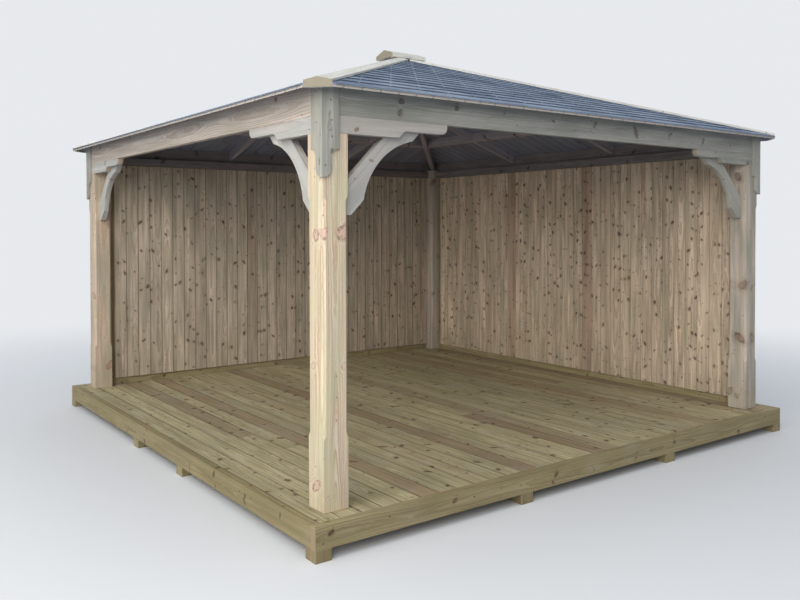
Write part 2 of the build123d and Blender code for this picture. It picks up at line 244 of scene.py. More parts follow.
# %% [markdown]
# ## Handling whole pieces
#
# What repeats is modelled once and copied. Copies could share one mesh, but here each gets its own,
# because each board must be able to differ. The finished boards are joined to one piece.

# %% Modifiers, joining and copies


def modifier(piece, kind, **settings):
    """Add a modifier, set it and apply it."""
    alone(piece)
    added = piece.modifiers.new(kind.lower(), kind)
    for key, value in settings.items():
        setattr(added, key, value)
    bpy.ops.object.modifier_apply(modifier=added.name)


def join(name, parts):
    """Join several objects into one piece."""
    alone(parts[0])
    for part in parts:
        part.select_set(True)
    if len(parts) > 1:
        bpy.ops.object.join()
    parts[0].name = name
    parts[0].data.name = name
    return parts[0]


def placed(name, data):
    """A new object in the scene."""
    piece = bpy.data.objects.new(name, data)
    bpy.context.scene.collection.objects.link(piece)
    return piece


def copy_of(master, place):
    """A copy with its own mesh, with its place in the mesh."""
    mesh = master.data.copy()
    mesh.transform(place)
    return placed(master.name, mesh)


# %% [markdown]
# ## Grain that belongs to each board
#
# Wood is a solid, so its figure is worked out in three dimensions. Each board carries its own
# coordinates in an attribute called timber: across the face, through the thickness and along the
# grain, counted from the middle of its own section. A random start along the grain and a random
# number called board make sure that no two boards are cut from the same spot of the tree. A third
# attribute called end marks the sawn ends, where the open pores make the wood darker.

# %% Timber coordinates
LOG_LENGTH = 30.0
END_FACING = 0.7
UPRIGHT = 0.1
NOT_SQUARE = 1.05
UP = Vector((0, 0, 1))


def rows_of(items, field, width, kind=float):
    """One field of all items of a mesh as rows of numbers."""
    values = np.empty(len(items) * width, kind)
    items.foreach_get(field, values)
    return values.reshape(-1, width)


def islands(mesh):
    """A label for each vertex that tells which loose board it belongs to."""
    a, b = rows_of(mesh.edges, "vertices", 2, int).T
    label = np.arange(len(mesh.vertices))
    while True:
        lowest = np.minimum(label[a], label[b])
        settled = label.copy()
        np.minimum.at(settled, a, lowest)
        np.minimum.at(settled, b, lowest)
        settled = settled[settled]
        if (settled == label).all():
            return label
        label = settled


def lay_grain(piece, along, start=None):
    """Write the timber attributes; along is a direction, or a rule from a board's centre."""
    mesh = piece.data
    points = rows_of(mesh.vertices, "co", 3)
    label = islands(mesh)
    timber, grain, board = np.zeros_like(points), np.zeros_like(points), np.zeros(len(points))
    for one in np.unique(label):
        own = label == one
        centre = (points[own].max(0) + points[own].min(0)) / 2
        direction = np.array((along(centre) if callable(along) else Vector(along)).normalized())
        level = np.cross(direction, (0, 0, 1))
        if np.linalg.norm(level) < UPRIGHT:
            level = np.array((1.0, 0, 0))
        across = level / np.linalg.norm(level)
        through = np.cross(across, direction)
        local = (points[own] - centre) @ np.array((across, through, direction)).T
        if np.ptp(local[:, 1]) > np.ptp(local[:, 0]) * NOT_SQUARE:
            local[:, [0, 1]] = local[:, [1, 0]]
        local[:, 2] += rng.uniform(0, LOG_LENGTH) if start is None else start
        timber[own] = local
        grain[own] = direction
        board[own] = rng.uniform()
    corner = [face.vertices[0] for face in mesh.polygons]
    facing = np.abs((rows_of(mesh.polygons, "normal", 3) * grain[corner]).sum(1))
    end = (facing > END_FACING).astype(float)
    mesh.attributes.new("timber", "FLOAT_VECTOR", "POINT").data.foreach_set("vector", timber.ravel())
    mesh.attributes.new("board", "FLOAT", "POINT").data.foreach_set("value", board)
    mesh.attributes.new("end", "FLOAT", "FACE").data.foreach_set("value", end)
    return len(np.unique(label))


# %% [markdown]
# ## Planing and rounding a timber
#
# A timber whose outline is right in the frame is copied, its loose triangles are merged into whole
# faces, and its arrises get the small round that a planer leaves. A bevel modifier does all arrises
# at once and keeps the faces flat. Rounding by hand, edge by edge, would give the same shape slower.

# %% Dress a CAD timber
ARRIS = 0.0025
SOFT_ARRIS = 0.003
CRISP_ARRIS = 0.002
FLAT_ANGLE = math.radians(0.5)
SHARP_ANGLE = math.radians(32)


def dressed(nodes, name, arris=ARRIS):
    """One piece from copies of CAD nodes, with whole faces and rounded arrises."""
    piece = join(name, [placed(node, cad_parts[node].data.copy()) for node in nodes])
    piece.data.materials.clear()
    enter("EDIT")
    everything()
    bpy.ops.mesh.remove_doubles(threshold=TINY)
    bpy.ops.mesh.dissolve_limited(angle_limit=FLAT_ANGLE)
    enter("OBJECT")
    modifier(piece, "BEVEL", width=arris, segments=2, limit_method="ANGLE", angle_limit=SHARP_ANGLE,
             harden_normals=True, use_clamp_overlap=True)
    return piece


def hand_over(piece, material, nodes):
    """Give a finished piece its material and let it stand for its CAD nodes."""
    piece.data.materials.clear()
    piece.data.materials.append(material)
    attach(piece, "root")
    if nodes:
        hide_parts(*nodes)
    print(piece.name, len(piece.data.polygons), "faces")


def finish_timber(node, along, finish, arris=ARRIS, start=None):
    """Make one CAD node a finished timber: round it, lay its grain and hand it over."""
    piece = dressed([node], node + "_timber", arris)
    lay_grain(piece, along, start)
    hand_over(piece, finish, [node])


# %% [markdown]
# ## Tools for materials
#
# A material is a small machine of nodes. A Value stands for the output of a node, and a sum that is
# written with it adds the math nodes, so that each recipe reads as a list of steps.

# %% Node helpers


class Value:
    """The output of a node; + - * / < and abs put math nodes into its tree."""

    def __init__(self, socket):
        self.socket, self.tree = socket, socket.id_data

    def calc(self, operation, *others):
        """Another math node on this value."""
        return out(put(self.tree, "Math", dict(enumerate((self, *others))), operation=operation))

    def __add__(self, other):
        """The sum; a product that nothing else uses becomes one node that multiplies and adds."""
        node = self.socket.node
        if node.type != "MATH" or node.operation != "MULTIPLY" or self.socket.is_linked:
            return self.calc("ADD", other)
        node.operation = "MULTIPLY_ADD"
        feed(node, {2: other})
        self.socket = None
        return out(node)

    def step(self, low, high, to_low=0.0, to_high=1.0):
        """A smooth step between two limits."""
        limits = {"Value": self, "From Min": low, "From Max": high, "To Min": to_low, "To Max": to_high}
        return out(put(self.tree, "MapRange", limits, interpolation_type="SMOOTHSTEP"))

    def fall(self, low, high):
        """A smooth step down from 1 to 0."""
        return self.step(low, high, 1.0, 0.0)

    __sub__ = partialmethod(calc, "SUBTRACT")
    __mul__ = partialmethod(calc, "MULTIPLY")
    __truediv__ = partialmethod(calc, "DIVIDE")
    __lt__ = partialmethod(calc, "LESS_THAN")
    __abs__ = partialmethod(calc, "ABSOLUTE")


def feed(node, inputs):
    """Set the sockets of a node to plain values, or wire Values to them."""
    for key, value in inputs.items():
        if isinstance(value, Value):
            node.id_data.links.new(value.socket, node.inputs[key])
        else:
            node.inputs[key].default_value = value


def put(tree, kind, inputs=None, **settings):
    """Add a node, set it and feed it."""
    node = tree.nodes.new("ShaderNode" + kind)
    for key, value in settings.items():
        setattr(node, key, value)
    feed(node, inputs or {})
    return node


def out(node, label=0):
    """One output of a node."""
    return Value(node.outputs[label])


def all_of(node):
    """The outputs of a node by name."""
    return {socket.name: Value(socket) for socket in node.outputs}


def tree_of(*values):
    """The node tree that the first Value among several belongs to."""
    return next(value.tree for value in values if isinstance(value, Value))


# %% [markdown]
# ## Colours, noises and groups
#
# Mixing colours, splitting vectors and adding noise come back in every recipe, so each has a helper
# that reads as one word. Effects that several materials use are node groups, which give colours,
# masks and values but never a shader.

# %% Common nodes


def mixed(factor, a, b, mode="MIX"):
    """Two colours mixed by a factor."""
    inputs = {0: factor, 6: a, 7: b}
    return out(put(tree_of(factor, a, b), "Mix", inputs, data_type="RGBA", blend_type=mode), 2)


def vector_of(*xyz):
    """A vector from three numbers."""
    return out(put(tree_of(*xyz), "CombineXYZ", dict(enumerate(xyz))))


def parts_of(vector):
    """The three numbers of a vector or colour."""
    return list(all_of(put(vector.tree, "SeparateXYZ", {0: vector})).values())


def random_of(value):
    """Three random numbers that belong to a number."""
    return parts_of(out(put(value.tree, "TexWhiteNoise", {"W": value}, noise_dimensions="1D"), "Color"))


def noise(vector, scale, detail=2.0, roughness=0.5, output="Fac"):
    """A cloudy value between 0 and 1, or a colour of three."""
    inputs = {"Vector": vector, "Scale": scale, "Detail": detail, "Roughness": roughness}
    return out(put(vector.tree, "TexNoise", inputs), output)


def voronoi(x, y, **inputs):
    """Random cells in a plane."""
    inputs = {"Vector": vector_of(x, y, 0.0), "Scale": 1.0, **inputs}
    return all_of(put(x.tree, "TexVoronoi", inputs, voronoi_dimensions="2D"))


def new_group(name, inputs, colours, values):
    """A node group with named sockets: the tree, its inputs by name and its output node."""
    tree = bpy.data.node_groups.new(name, "ShaderNodeTree")
    for label, value in inputs.items():
        kind = {1: "Float", 3: "Vector", 4: "Color"}[np.size(value)]
        socket = tree.interface.new_socket(label, in_out="INPUT", socket_type="NodeSocket" + kind)
        socket.default_value = value
    for label in (*colours, *values):
        kind = "Color" if label in colours else "Float"
        tree.interface.new_socket(label, in_out="OUTPUT", socket_type="NodeSocket" + kind)
    return tree, all_of(tree.nodes.new("NodeGroupInput")), tree.nodes.new("NodeGroupOutput")


def rgb(red, green, blue):
    """A colour from the 0 to 255 values that a screen shows."""
    def linear(value):
        value /= 255
        return value / 12.92 if value <= 0.04045 else ((value + 0.055) / 1.055) ** 2.4

    return linear(red), linear(green), linear(blue), 1.0


# %% [markdown]
# ## The figure of pine: where the pith lies
#
# A pine log is a stack of cones round its pith. A board shows straight lines near the pith and
# flames where it is cut flat. A flat wood texture could be laid on each face, but it would not run
# on round an edge. So the figure is worked out in the solid: a wandering pith is placed behind the
# face, and every point is told by its distance from the pith and the angle round it.

# %% Pith
FULL_TURN = 2 * math.pi
PITH_DRIFT = 0.9
WANDER_REACH = 4.0
LEAST_DEPTH = 0.6


def find_pith(get, chance, place, seed):
    """The distance of a point from the pith of its log, and the angle round the pith."""
    wander = parts_of(noise(vector_of(seed, 0.0, place[2] * PITH_DRIFT), 1.0, output="Color"))
    reach = get["Pith Wander"] * WANDER_REACH
    side = (chance[2] - 0.5).calc("SIGN")
    aside = (chance[0] - 0.5) * get["Pith Depth"]
    depth = get["Pith Depth"] * (chance[1] + LEAST_DEPTH) * side
    x = (wander[0] - 0.5) * reach + (place[0] + aside)
    y = (wander[1] - 0.5) * reach + (place[1] + depth)
    return (x * x + y * y).calc("SQRT"), x.calc("ARCTAN2", y * side)


# %% [markdown]
# ## Knots
#
# Branches grow outwards from the pith in whorls. They are looked up in cells by the angle round the
# pith and the height, so a knot shows as a round spot on every face that cuts its branch. A branch is
# cut at a slant, so its knot is an oval that leans to one side. Pin knots, the size of a match head,
# lie anywhere between them.

# %% Knots
KNOT_LEAN = 1.3
KNOT_SQUASH = 0.72
SMALLEST_KNOT = 0.35
KNOT_SPREAD = 0.85
RAGGED_PER_METRE = 60.0
RAGGEDNESS = 1.3
# Where each part of a knot begins and ends, in shares of its radius
HEART = (0.75, 1.05)
RIM_INSIDE = (0.6, 0.92)
RIM_OUTSIDE = (1.0, 1.3)
HALO = (0.9, 2.6)
PINS_ACROSS = 13.0
PINS_ALONG = 9.0
PIN_SHARE = 0.2
PIN_SIZE = (0.02, 0.065)
CELL_SCATTER = 0.75
AT_THE_SEAM = -0.45
DEAD_OR_ALIVE = (0.1, 0.8, 0.4, 1.0)
BROKEN_RIM = (-0.12, 0.05, 0.25, 1.0)


def grow_knots(get, along, seed, radius, angle):
    """The masks of a knot, its rim and its halo, and the size of the knot."""
    per_radian = get["Branches"] / FULL_TURN
    u, v = angle * per_radian + seed, along / get["Row Height"]
    cell = voronoi(u, v, Randomness=CELL_SCATTER)
    middle, drawn = parts_of(cell["Position"]), parts_of(cell["Color"])
    dv = (v - middle[1]) * get["Row Height"]
    du = dv * ((drawn[2] - 0.5) * KNOT_LEAN) + (u - middle[0]) / per_radian * radius
    dv = dv * KNOT_SQUASH
    size = (drawn[1] * drawn[1] * KNOT_SPREAD + SMALLEST_KNOT) * get["Knot Size"]
    ragged = noise(get["Timber"], RAGGED_PER_METRE, 1.0) - 0.5
    ratio = ragged * RAGGEDNESS + (du * du + dv * dv).calc("SQRT") / size

    # Only one row of cells in a few is a whorl, and none of its knots lies where the turn closes
    row = middle[1].calc("FLOOR").calc("MODULO", get["Whorl Rows"])
    there = (drawn[0] < get["Knot Share"]) * (abs(row) < 0.5)
    there = there * (abs(middle[0] - seed) < get["Branches"] * 0.5 + AT_THE_SEAM)
    # Some branches were alive and pale, others dead and dark
    there = there * drawn[1].step(*DEAD_OR_ALIVE)
    edge = ratio.step(*RIM_INSIDE) * ratio.fall(*RIM_OUTSIDE) * ragged.step(*BROKEN_RIM)
    return ratio.fall(*HEART) * there, edge * there, ratio.fall(*HALO) * there, size


def pin_knots(get, place, seed):
    """The mask of the pin knots."""
    pins = voronoi((place[0] + place[1]) * PINS_ACROSS + seed, place[2] * PINS_ALONG)
    kept = parts_of(pins["Color"])[0] < get["Knot Share"] * PIN_SHARE
    return pins["Distance"].fall(*PIN_SIZE) * kept


# %% [markdown]
# ## Year rings and streaks
#
# The rings are counted outwards from the pith, wider and narrower by turns, and bend past the knots.
# Late wood ends each ring with a sharp edge. Fine fibres, wider streaks and slow stains are three
# noises that are drawn out along the grain.

# %% Year rings and streaks
SEED_SPREAD = 61.0
RING_BEND = 1.2
YEARS_PER_METRE = 45.0
YEAR_SWING = 2.4
WAVES_PER_METRE = 26.0
WAVE_SWING = 0.55
LATE_BEGINS = (0.2, 0.88)
LATE_ENDS = (0.9, 1.0)
# How fine each noise is across the grain and along it, per metre
FIBRES = (700.0, 14.0)
TONES = (12.0, 2.4)
STREAKS_ALONG = 1.6
STREAK_BEND = 0.006


def year_rings(get, seed, radius, bent):
    """The late wood of the rings, from the distance to the pith as it is and as knots bend it."""
    years = noise(vector_of(radius * YEARS_PER_METRE, seed, 0.0), 1.0, 1.0)
    phase = years * YEAR_SWING + bent / get["Ring Width"]
    phase = (noise(get["Timber"], WAVES_PER_METRE, 1.0) * WAVE_SWING + phase).calc("FRACT")
    return phase.step(*LATE_BEGINS) * phase.fall(*LATE_ENDS)


def make_pine_figure():
    """The group that turns a place in a board into the masks of its figure."""
    inputs = {"Timber": (0, 0, 0), "Board": 0.0, "Pith Depth": 0.06, "Pith Wander": 0.012,
              "Ring Width": 0.005, "Branches": 6.0, "Row Height": 0.1, "Whorl Rows": 6.0,
              "Knot Size": 0.012, "Knot Share": 0.6, "Streaks Per Metre": 40.0}
    masks = ("Latewood", "Fibre", "Knot", "Knot Edge", "Halo", "Tone", "Streak")
    tree, get, end = new_group("pine_figure", inputs, (), masks)
    place = across, through, along = parts_of(get["Timber"])
    seed = get["Board"] * SEED_SPREAD
    radius, angle = find_pith(get, random_of(get["Board"]), place, seed)
    knot, edge, halo, size = grow_knots(get, along, seed, radius, angle)
    pin = pin_knots(get, place, seed)
    dense = get["Streaks Per Metre"]
    bent_across = halo * STREAK_BEND + across
    (fine, stretch), (broad, slow) = FIBRES, TONES
    feed(end, {
        "Latewood": year_rings(get, seed, radius, halo * size * RING_BEND + radius),
        "Fibre": noise(vector_of(across * fine, through * fine, along * stretch + seed), 1.0),
        "Knot": knot.calc("MAXIMUM", pin),
        "Knot Edge": edge.calc("MAXIMUM", pin),
        "Halo": halo,
        "Tone": noise(vector_of(across * broad + seed, through * broad, along * slow), 1.0),
        "Streak": noise(vector_of(bent_across * dense + seed, through * dense, along * STREAKS_ALONG), 1.0),
    })
    return tree


pine_figure = make_pine_figure()
print("pine figure nodes", len(pine_figure.nodes))

# %% [markdown]
# ## The colour of pine
#
# Early wood is pale and late wood is warmer and darker. Green treatment and the weather stain it in
# long soft patches, each board is a little lighter or darker than the next, and knots are brown with
# a nearly black rim. A second group turns the masks of the first into colour, roughness and height.

# %% Pine colour group
ANOTHER_DRAW = 7.3
STAINED = (0.36, 0.66)
ODDNESS = (0.6, 0.25)
STREAKED = (0.3, 0.7, -1.0, 1.0)
FIBROUS = (0.2, 0.8, 0.93, 1.06)
KNOT_TINTS = (("Halo", 0.55, "Knot Halo"), ("Knot", 0.85, "Knot Heart"), ("Knot Edge", 0.8, "Knot Rim"))
# Roughness of planed wood, and what the fibres add to it and a resinous knot takes away
PLANED, FIBRE_ROUGHNESS, KNOT_GLOSS = 0.6, 0.16, -0.12
# How much each mask stands out in the relief
LATE_RELIEF, FIBRE_RELIEF, RIM_RELIEF = 0.5, 0.5, -0.6


def make_pine_colour():
    """The group that turns the masks into colour, roughness and height."""
    inputs = {"Latewood": 0.0, "Fibre": 0.5, "Knot": 0.0, "Knot Edge": 0.0, "Halo": 0.0, "Tone": 0.5,
              "Streak": 0.5, "Board": 0.0, "Early": (0.7, 0.5, 0.3, 1), "Late": (0.5, 0.3, 0.1, 1),
              "Late Amount": 0.6, "Stain": (0.4, 0.4, 0.2, 1), "Stain Amount": 0.5, "Streak Depth": 0.1,
              "Odd Board": (0.5, 0.3, 0.2, 1), "Odd Share": 0.3, "Board Contrast": 0.15,
              "Knot Heart": (0.15, 0.06, 0.03, 1), "Knot Rim": (0.03, 0.015, 0.01, 1),
              "Knot Halo": (0.3, 0.2, 0.1, 1)}
    tree, get, end = new_group("pine_colour", inputs, ("Color",), ("Roughness", "Height"))
    chance = random_of(get["Board"] + ANOTHER_DRAW)
    colour = mixed(get["Latewood"] * get["Late Amount"], get["Early"], get["Late"])
    colour = mixed(get["Tone"].step(*STAINED) * get["Stain Amount"], colour, get["Stain"])
    odd = (chance[0] < get["Odd Share"]) * (chance[1] * ODDNESS[0] + ODDNESS[1])
    colour = mixed(odd, colour, get["Odd Board"])
    for mask, strength, tint in KNOT_TINTS:
        colour = mixed(get[mask] * strength, colour, get[tint])

    # Light and dark: by board, by streak and by fibre
    light = (chance[2] - 0.5) * get["Board Contrast"] * 2.0 + 1.0
    light = light * (get["Streak"].step(*STREAKED) * get["Streak Depth"] + 1.0)
    light = light * get["Fibre"].step(*FIBROUS)
    relief = get["Latewood"] * LATE_RELIEF + get["Fibre"] * FIBRE_RELIEF
    feed(end, {
        "Color": mixed(1.0, colour, vector_of(light, light, light), "MULTIPLY"),
        "Roughness": get["Knot"] * KNOT_GLOSS + (get["Fibre"] * FIBRE_ROUGHNESS + PLANED),
        "Height": get["Knot Edge"] * RIM_RELIEF + relief,
    })
    return tree


pine_colour = make_pine_colour()
print("pine colour nodes", len(pine_colour.nodes))

# %% [markdown]
# ## Dirt and weather
#
# Timber outdoors gathers dust and splashes near the ground and a faint grey bloom in patches. One
# small group makes both masks from the place on the object, so that every timber shares the same
# weather and the patches run on from piece to piece.

# %% Weather group
PATCHES = (3.2, 3.0, 0.6)
BLOOMING = (0.48, 0.72)


def make_weather():
    """The group for splashes near the ground and grey bloom."""
    inputs = {"Place": (0, 0, 0), "Splash Height": 0.3, "Ground": 0.0}
    tree, get, end = new_group("weather", inputs, (), ("Splash", "Bloom"))
    height = parts_of(get["Place"])[2] - get["Ground"]
    patches = noise(get["Place"], *PATCHES)
    splash = height.fall(0.0, get["Splash Height"] * (patches + 0.5))
    feed(end, {"Splash": splash, "Bloom": patches.step(*BLOOMING)})
    return tree


weather = make_weather()
print("weather nodes", len(weather.nodes))

# %% [markdown]
# ## One recipe for all the timber finishes
#
# The two pine groups and the weather are wired to a Principled shader in one function. Each finish
# then only names its colours, how large and how many its knots are, and how far the pith lies from
# the face: behind it for boards, and inside the section for posts.

# %% Timber materials
BLOOM = rgb(184, 180, 170)
SPLASH = rgb(150, 138, 114)
JOINT_DIRT = rgb(52, 42, 34)
JOINT_FADE = 0.004
JOINT_GRIME = 0.4
END_GRAIN = rgb(168, 144, 114)
END_SHADE = 0.85
RIB_DEPTH = 0.0022
RIB_DARKENING = 0.4
RIB_SIDES = (0.25, 1.0, 0.0, RIB_DARKENING)
RIB_BOTTOM = (1.3, 3.0)
SPLASH_HEIGHT = 0.35
RELIEF_STRENGTH = 0.6
WOOD_GLOSS = 0.3


def blank_material(name):
    """A material with only a Principled shader in it."""
    material = bpy.data.materials.new(name)
    material.use_nodes = True
    shader = material.node_tree.nodes["Principled BSDF"]
    return material, material.node_tree, shader


def attribute(tree, name, output="Fac"):
    """A value that lay_grain wrote on the mesh."""
    return out(put(tree, "Attribute", attribute_name=name, attribute_type="GEOMETRY"), output)


def place_on(tree):
    """The place on the object, in metres."""
    return out(put(tree, "TexCoord"), "Object")


def group(tree, recipe, inputs):
    """Use a node group, and give its outputs by name."""
    return all_of(put(tree, "Group", inputs, node_tree=recipe))


def wire(shader, colour, rough, height, strength, depth, specular=0.5, metallic=0.0):
    """Give a shader its colour, its roughness, a relief of a depth in metres and its gloss."""
    bump = put(colour.tree, "Bump", {"Height": height, "Strength": strength, "Distance": depth})
    feed(shader, {"Base Color": colour, "Roughness": rough, "Normal": out(bump),
                  "Specular IOR Level": specular, "Metallic": metallic})


def timber(name, figure, colours, bloom=0.25, splash=0.0, joint=None, ribbed=None, relief=0.0005,
           end_grain=END_GRAIN):
    """A timber finish; grime begins at the half width joint, and the ribs are darker below the level
    ribbed.
    """
    material, tree, shader = blank_material(name)
    own, board = attribute(tree, "timber", "Vector"), attribute(tree, "board")
    masks = group(tree, pine_figure, {"Timber": own, "Board": board, **figure})
    look = group(tree, pine_colour, {**masks, "Board": board, **colours})
    inputs = {"Place": place_on(tree), "Splash Height": SPLASH_HEIGHT, "Ground": deck_top}
    dirt = group(tree, weather, inputs)
    colour = mixed(dirt["Bloom"] * bloom, look["Color"], BLOOM)
    if splash:
        colour = mixed(dirt["Splash"] * splash, colour, SPLASH)
    across, through, _ = parts_of(own)
    if joint:
        grime = abs(across).step(joint, joint + JOINT_FADE, 0.0, JOINT_GRIME)
        colour = mixed(grime, colour, JOINT_DIRT)
    if ribbed:
        # The deck is darker down in the grooves of its ribs
        depth = (through - ribbed) / -RIB_DEPTH
        colour = mixed(depth.step(*RIB_SIDES) * depth.fall(*RIB_BOTTOM), colour, JOINT_DIRT)
    colour = mixed(attribute(tree, "end") * END_SHADE, colour, end_grain)
    wire(shader, colour, look["Roughness"], look["Height"], RELIEF_STRENGTH, relief, specular=WOOD_GLOSS)
    print(name, len(tree.nodes), "nodes")
    return material


def wood(early, late, stain, odd, knots, amounts):
    """The look of one pine; knots are its heart, rim and halo, and amounts are named by strengths."""
    tints = zip(("Early", "Late", "Stain", "Odd Board", "Knot Heart", "Knot Rim", "Knot Halo"),
                (early, late, stain, odd, *knots))
    strengths = ("Late Amount", "Stain Amount", "Streak Depth", "Odd Share", "Board Contrast")
    return {**{name: rgb(*tint) for name, tint in tints}, **dict(zip(strengths, amounts))}


# %% [markdown]
# ## Finishes of the posts
#
# A post is sawn from the middle of a log, so its knots are large and sit in whorls. The near post is
# pale and fresh, the one at the back left is tan, and the two on the right have turned silver. On
# the back-right post, in the boarded corner, the greyer silver finish also paints part of the shade.

# %% Post finishes
POST_FIGURE = {"Pith Depth": 0.03, "Pith Wander": 0.012, "Ring Width": 0.009, "Branches": 6,
               "Row Height": 0.107, "Whorl Rows": 6, "Knot Size": 0.03, "Knot Share": 0.62,
               "Streaks Per Metre": 30}

post_pine = timber(
    "planed_pine_near_post", POST_FIGURE,
    wood((240, 222, 196), (206, 168, 128), (214, 206, 166), (222, 208, 184),
         ((224, 188, 166), (150, 106, 82), (236, 218, 190)), (0.85, 0.7, 0.09, 0.5, 0.03)),
    splash=0.2, bloom=0.15,
)
tan_pine = timber(
    "planed_pine_far_post", POST_FIGURE,
    wood((220, 198, 174), (190, 158, 130), (184, 174, 146), (206, 184, 160),
         ((190, 148, 122), (126, 92, 72), (204, 178, 150)), (0.75, 0.6, 0.1, 0.5, 0.03)),
    splash=0.2, bloom=0.25,
)
silver_pine = timber(
    "silvered_pine_posts", {**POST_FIGURE, "Whorl Rows": 4, "Knot Size": 0.025, "Knot Share": 0.85},
    wood((222, 206, 186), (172, 150, 128), (142, 144, 122), (198, 184, 168),
         ((156, 128, 108), (88, 72, 60), (170, 148, 126)), (0.75, 0.9, 0.14, 0.5, 0.03)),
    splash=0.2, bloom=0.3,
)

# %% [markdown]
# ## Finishes of beams, rails and rafters
#
# These timbers have smaller knots than the posts. Their colours differ partly by the wood and partly
# by painted light: the front beam is greener and darker as painted shade under the eaves, the left
# beam warmer and paler as painted light on that side, the shaded rails and the rafters darker and
# greyer as painted shade, and the brackets paler. One finish for all would make them look cast.

# %% Beam finishes
BEAM_FIGURE = {"Pith Depth": 0.05, "Pith Wander": 0.02, "Ring Width": 0.008, "Branches": 7,
               "Row Height": 0.1, "Whorl Rows": 4, "Knot Size": 0.011, "Knot Share": 0.6,
               "Streaks Per Metre": 36}

# Greener and darker than the left beam: partly the green of the treatment, partly painted shade under the
# eaves
treated_pine_with_painted_shade = timber(
    "treated_pine_beams_with_painted_shade", BEAM_FIGURE,
    wood((192, 189, 177), (150, 144, 130), (144, 146, 132), (176, 172, 158),
         ((122, 110, 96), (78, 70, 60), (142, 134, 118)), (0.65, 0.6, 0.1, 0.4, 0.04)),
    bloom=0.25, end_grain=rgb(182, 166, 148),
)
pale_pine = timber(
    "pale_pine_brackets", BEAM_FIGURE,
    wood((207, 203, 196), (184, 172, 156), (186, 186, 176), (200, 192, 180),
         ((150, 128, 108), (102, 84, 70), (190, 176, 156)), (0.65, 0.6, 0.08, 0.4, 0.04)),
    bloom=0.25, end_grain=rgb(200, 174, 152),
)
# Warmer and paler than the front beam: the same pine with painted light on the left side
warm_pine_with_painted_light = timber(
    "warm_pine_beams_with_painted_light", BEAM_FIGURE,
    wood((216, 204, 190), (178, 152, 132), (184, 172, 154), (202, 184, 168),
         ((142, 108, 84), (84, 62, 48), (182, 156, 126)), (0.7, 0.5, 0.1, 0.4, 0.04)),
    bloom=0.2,
)
# Darker and greyer than the other beams: painted shade under the roof, for the back and right beams and the
# head rails
pine_with_painted_shade = timber(
    "pine_rails_with_painted_shade", BEAM_FIGURE,
    wood((142, 134, 131), (114, 105, 102), (120, 114, 112), (130, 119, 114),
         ((82, 70, 64), (50, 42, 40), (110, 98, 92)), (0.7, 0.5, 0.08, 0.4, 0.04)),
    bloom=0.1,
)
# Greyer, darker and bluer than fresh pine: painted shade under the roof
rafter_pine_with_painted_shade = timber(
    "sawn_pine_rafters_with_painted_shade", BEAM_FIGURE,
    wood((188, 180, 186), (158, 146, 148), (162, 154, 158), (174, 162, 162),
         ((90, 76, 68), (54, 46, 42), (134, 120, 114)), (0.7, 0.5, 0.08, 0.4, 0.05)),
    bloom=0.15,
)

# %% [markdown]
# ## Finishes of the boards
#
# Boards are cut beside the pith, so they show flames, and their knots are small. Dirt gathers at
# their edges, where two boards meet, and the deck is darker down in its ribs. The right wall is
# rosier than the back one. The deck's rims and the caps are thicker timbers, so they take the figure
# of the beams.

# %% Wall, deck, roof and cap finishes
BOARD_FIGURE = {"Pith Depth": 0.07, "Pith Wander": 0.02, "Ring Width": 0.006, "Branches": 11,
                "Row Height": 0.15, "Whorl Rows": 1, "Knot Size": 0.0095, "Knot Share": 0.38,
                "Streaks Per Metre": 38}
# From the middle of a board to where the dirt of its joint begins
WALL_JOINT = 0.0505
DECK_JOINT = 0.057
ROOF_JOINT = 0.0515

wall_pine = timber(
    "back_wall_pine", {**BOARD_FIGURE, "Row Height": 0.12, "Knot Share": 0.44},
    wood((214, 197, 174), (178, 154, 130), (170, 160, 134), (162, 140, 122),
         ((96, 72, 56), (48, 36, 30), (154, 128, 104)), (0.7, 0.6, 0.17, 0.3, 0.07)),
    splash=0.2, bloom=0.15, joint=WALL_JOINT,
)
rosy_wall_pine = timber(
    "right_wall_pine",
    {**BOARD_FIGURE, "Row Height": 0.1, "Knot Size": 0.0085, "Knot Share": 0.62, "Streaks Per Metre": 30},
    wood((228, 207, 180), (188, 158, 130), (180, 166, 136), (180, 152, 128),
         ((96, 70, 54), (52, 38, 32), (152, 122, 96)), (0.75, 0.55, 0.2, 0.24, 0.085)),
    splash=0.2, bloom=0.1, joint=WALL_JOINT,
)
DECK_FIGURE = {**BOARD_FIGURE, "Branches": 8, "Row Height": 0.17, "Knot Size": 0.013, "Knot Share": 0.45,
               "Streaks Per Metre": 80}
DECK_COLOURS = wood((190, 178, 142), (150, 134, 98), (156, 146, 108), (148, 126, 98),
                    ((84, 64, 46), (36, 28, 22), (146, 124, 88)), (0.65, 0.5, 0.2, 0.3, 0.12))
deck_pine = timber("grooved_deck_pine", DECK_FIGURE, DECK_COLOURS, bloom=0.15, joint=DECK_JOINT,
                   ribbed=deck_thickness / 2, relief=0.0007)
rim_pine = timber(
    "deck_rim_pine", BEAM_FIGURE,
    {**DECK_COLOURS, "Early": rgb(166, 152, 114), "Late": rgb(128, 110, 74), "Stain": rgb(138, 126, 86),
     "Odd Board": rgb(148, 128, 92), "Streak Depth": 0.12},
    bloom=0.1,
)
# Dark blue-grey boards: painted shade of the roof's underside. Their sawn ends at the eaves are paler
roof_pine_with_painted_shade = timber(
    "roof_boarding_pine_with_painted_shade", {**BOARD_FIGURE, "Branches": 8, "Row Height": 0.25},
    wood((146, 151, 168), (128, 128, 140), (128, 132, 144), (136, 134, 142),
         ((90, 78, 72), (52, 46, 44), (124, 118, 118)), (0.6, 0.5, 0.06, 0.35, 0.05)),
    bloom=0.1, joint=ROOF_JOINT, end_grain=rgb(216, 204, 188),
)
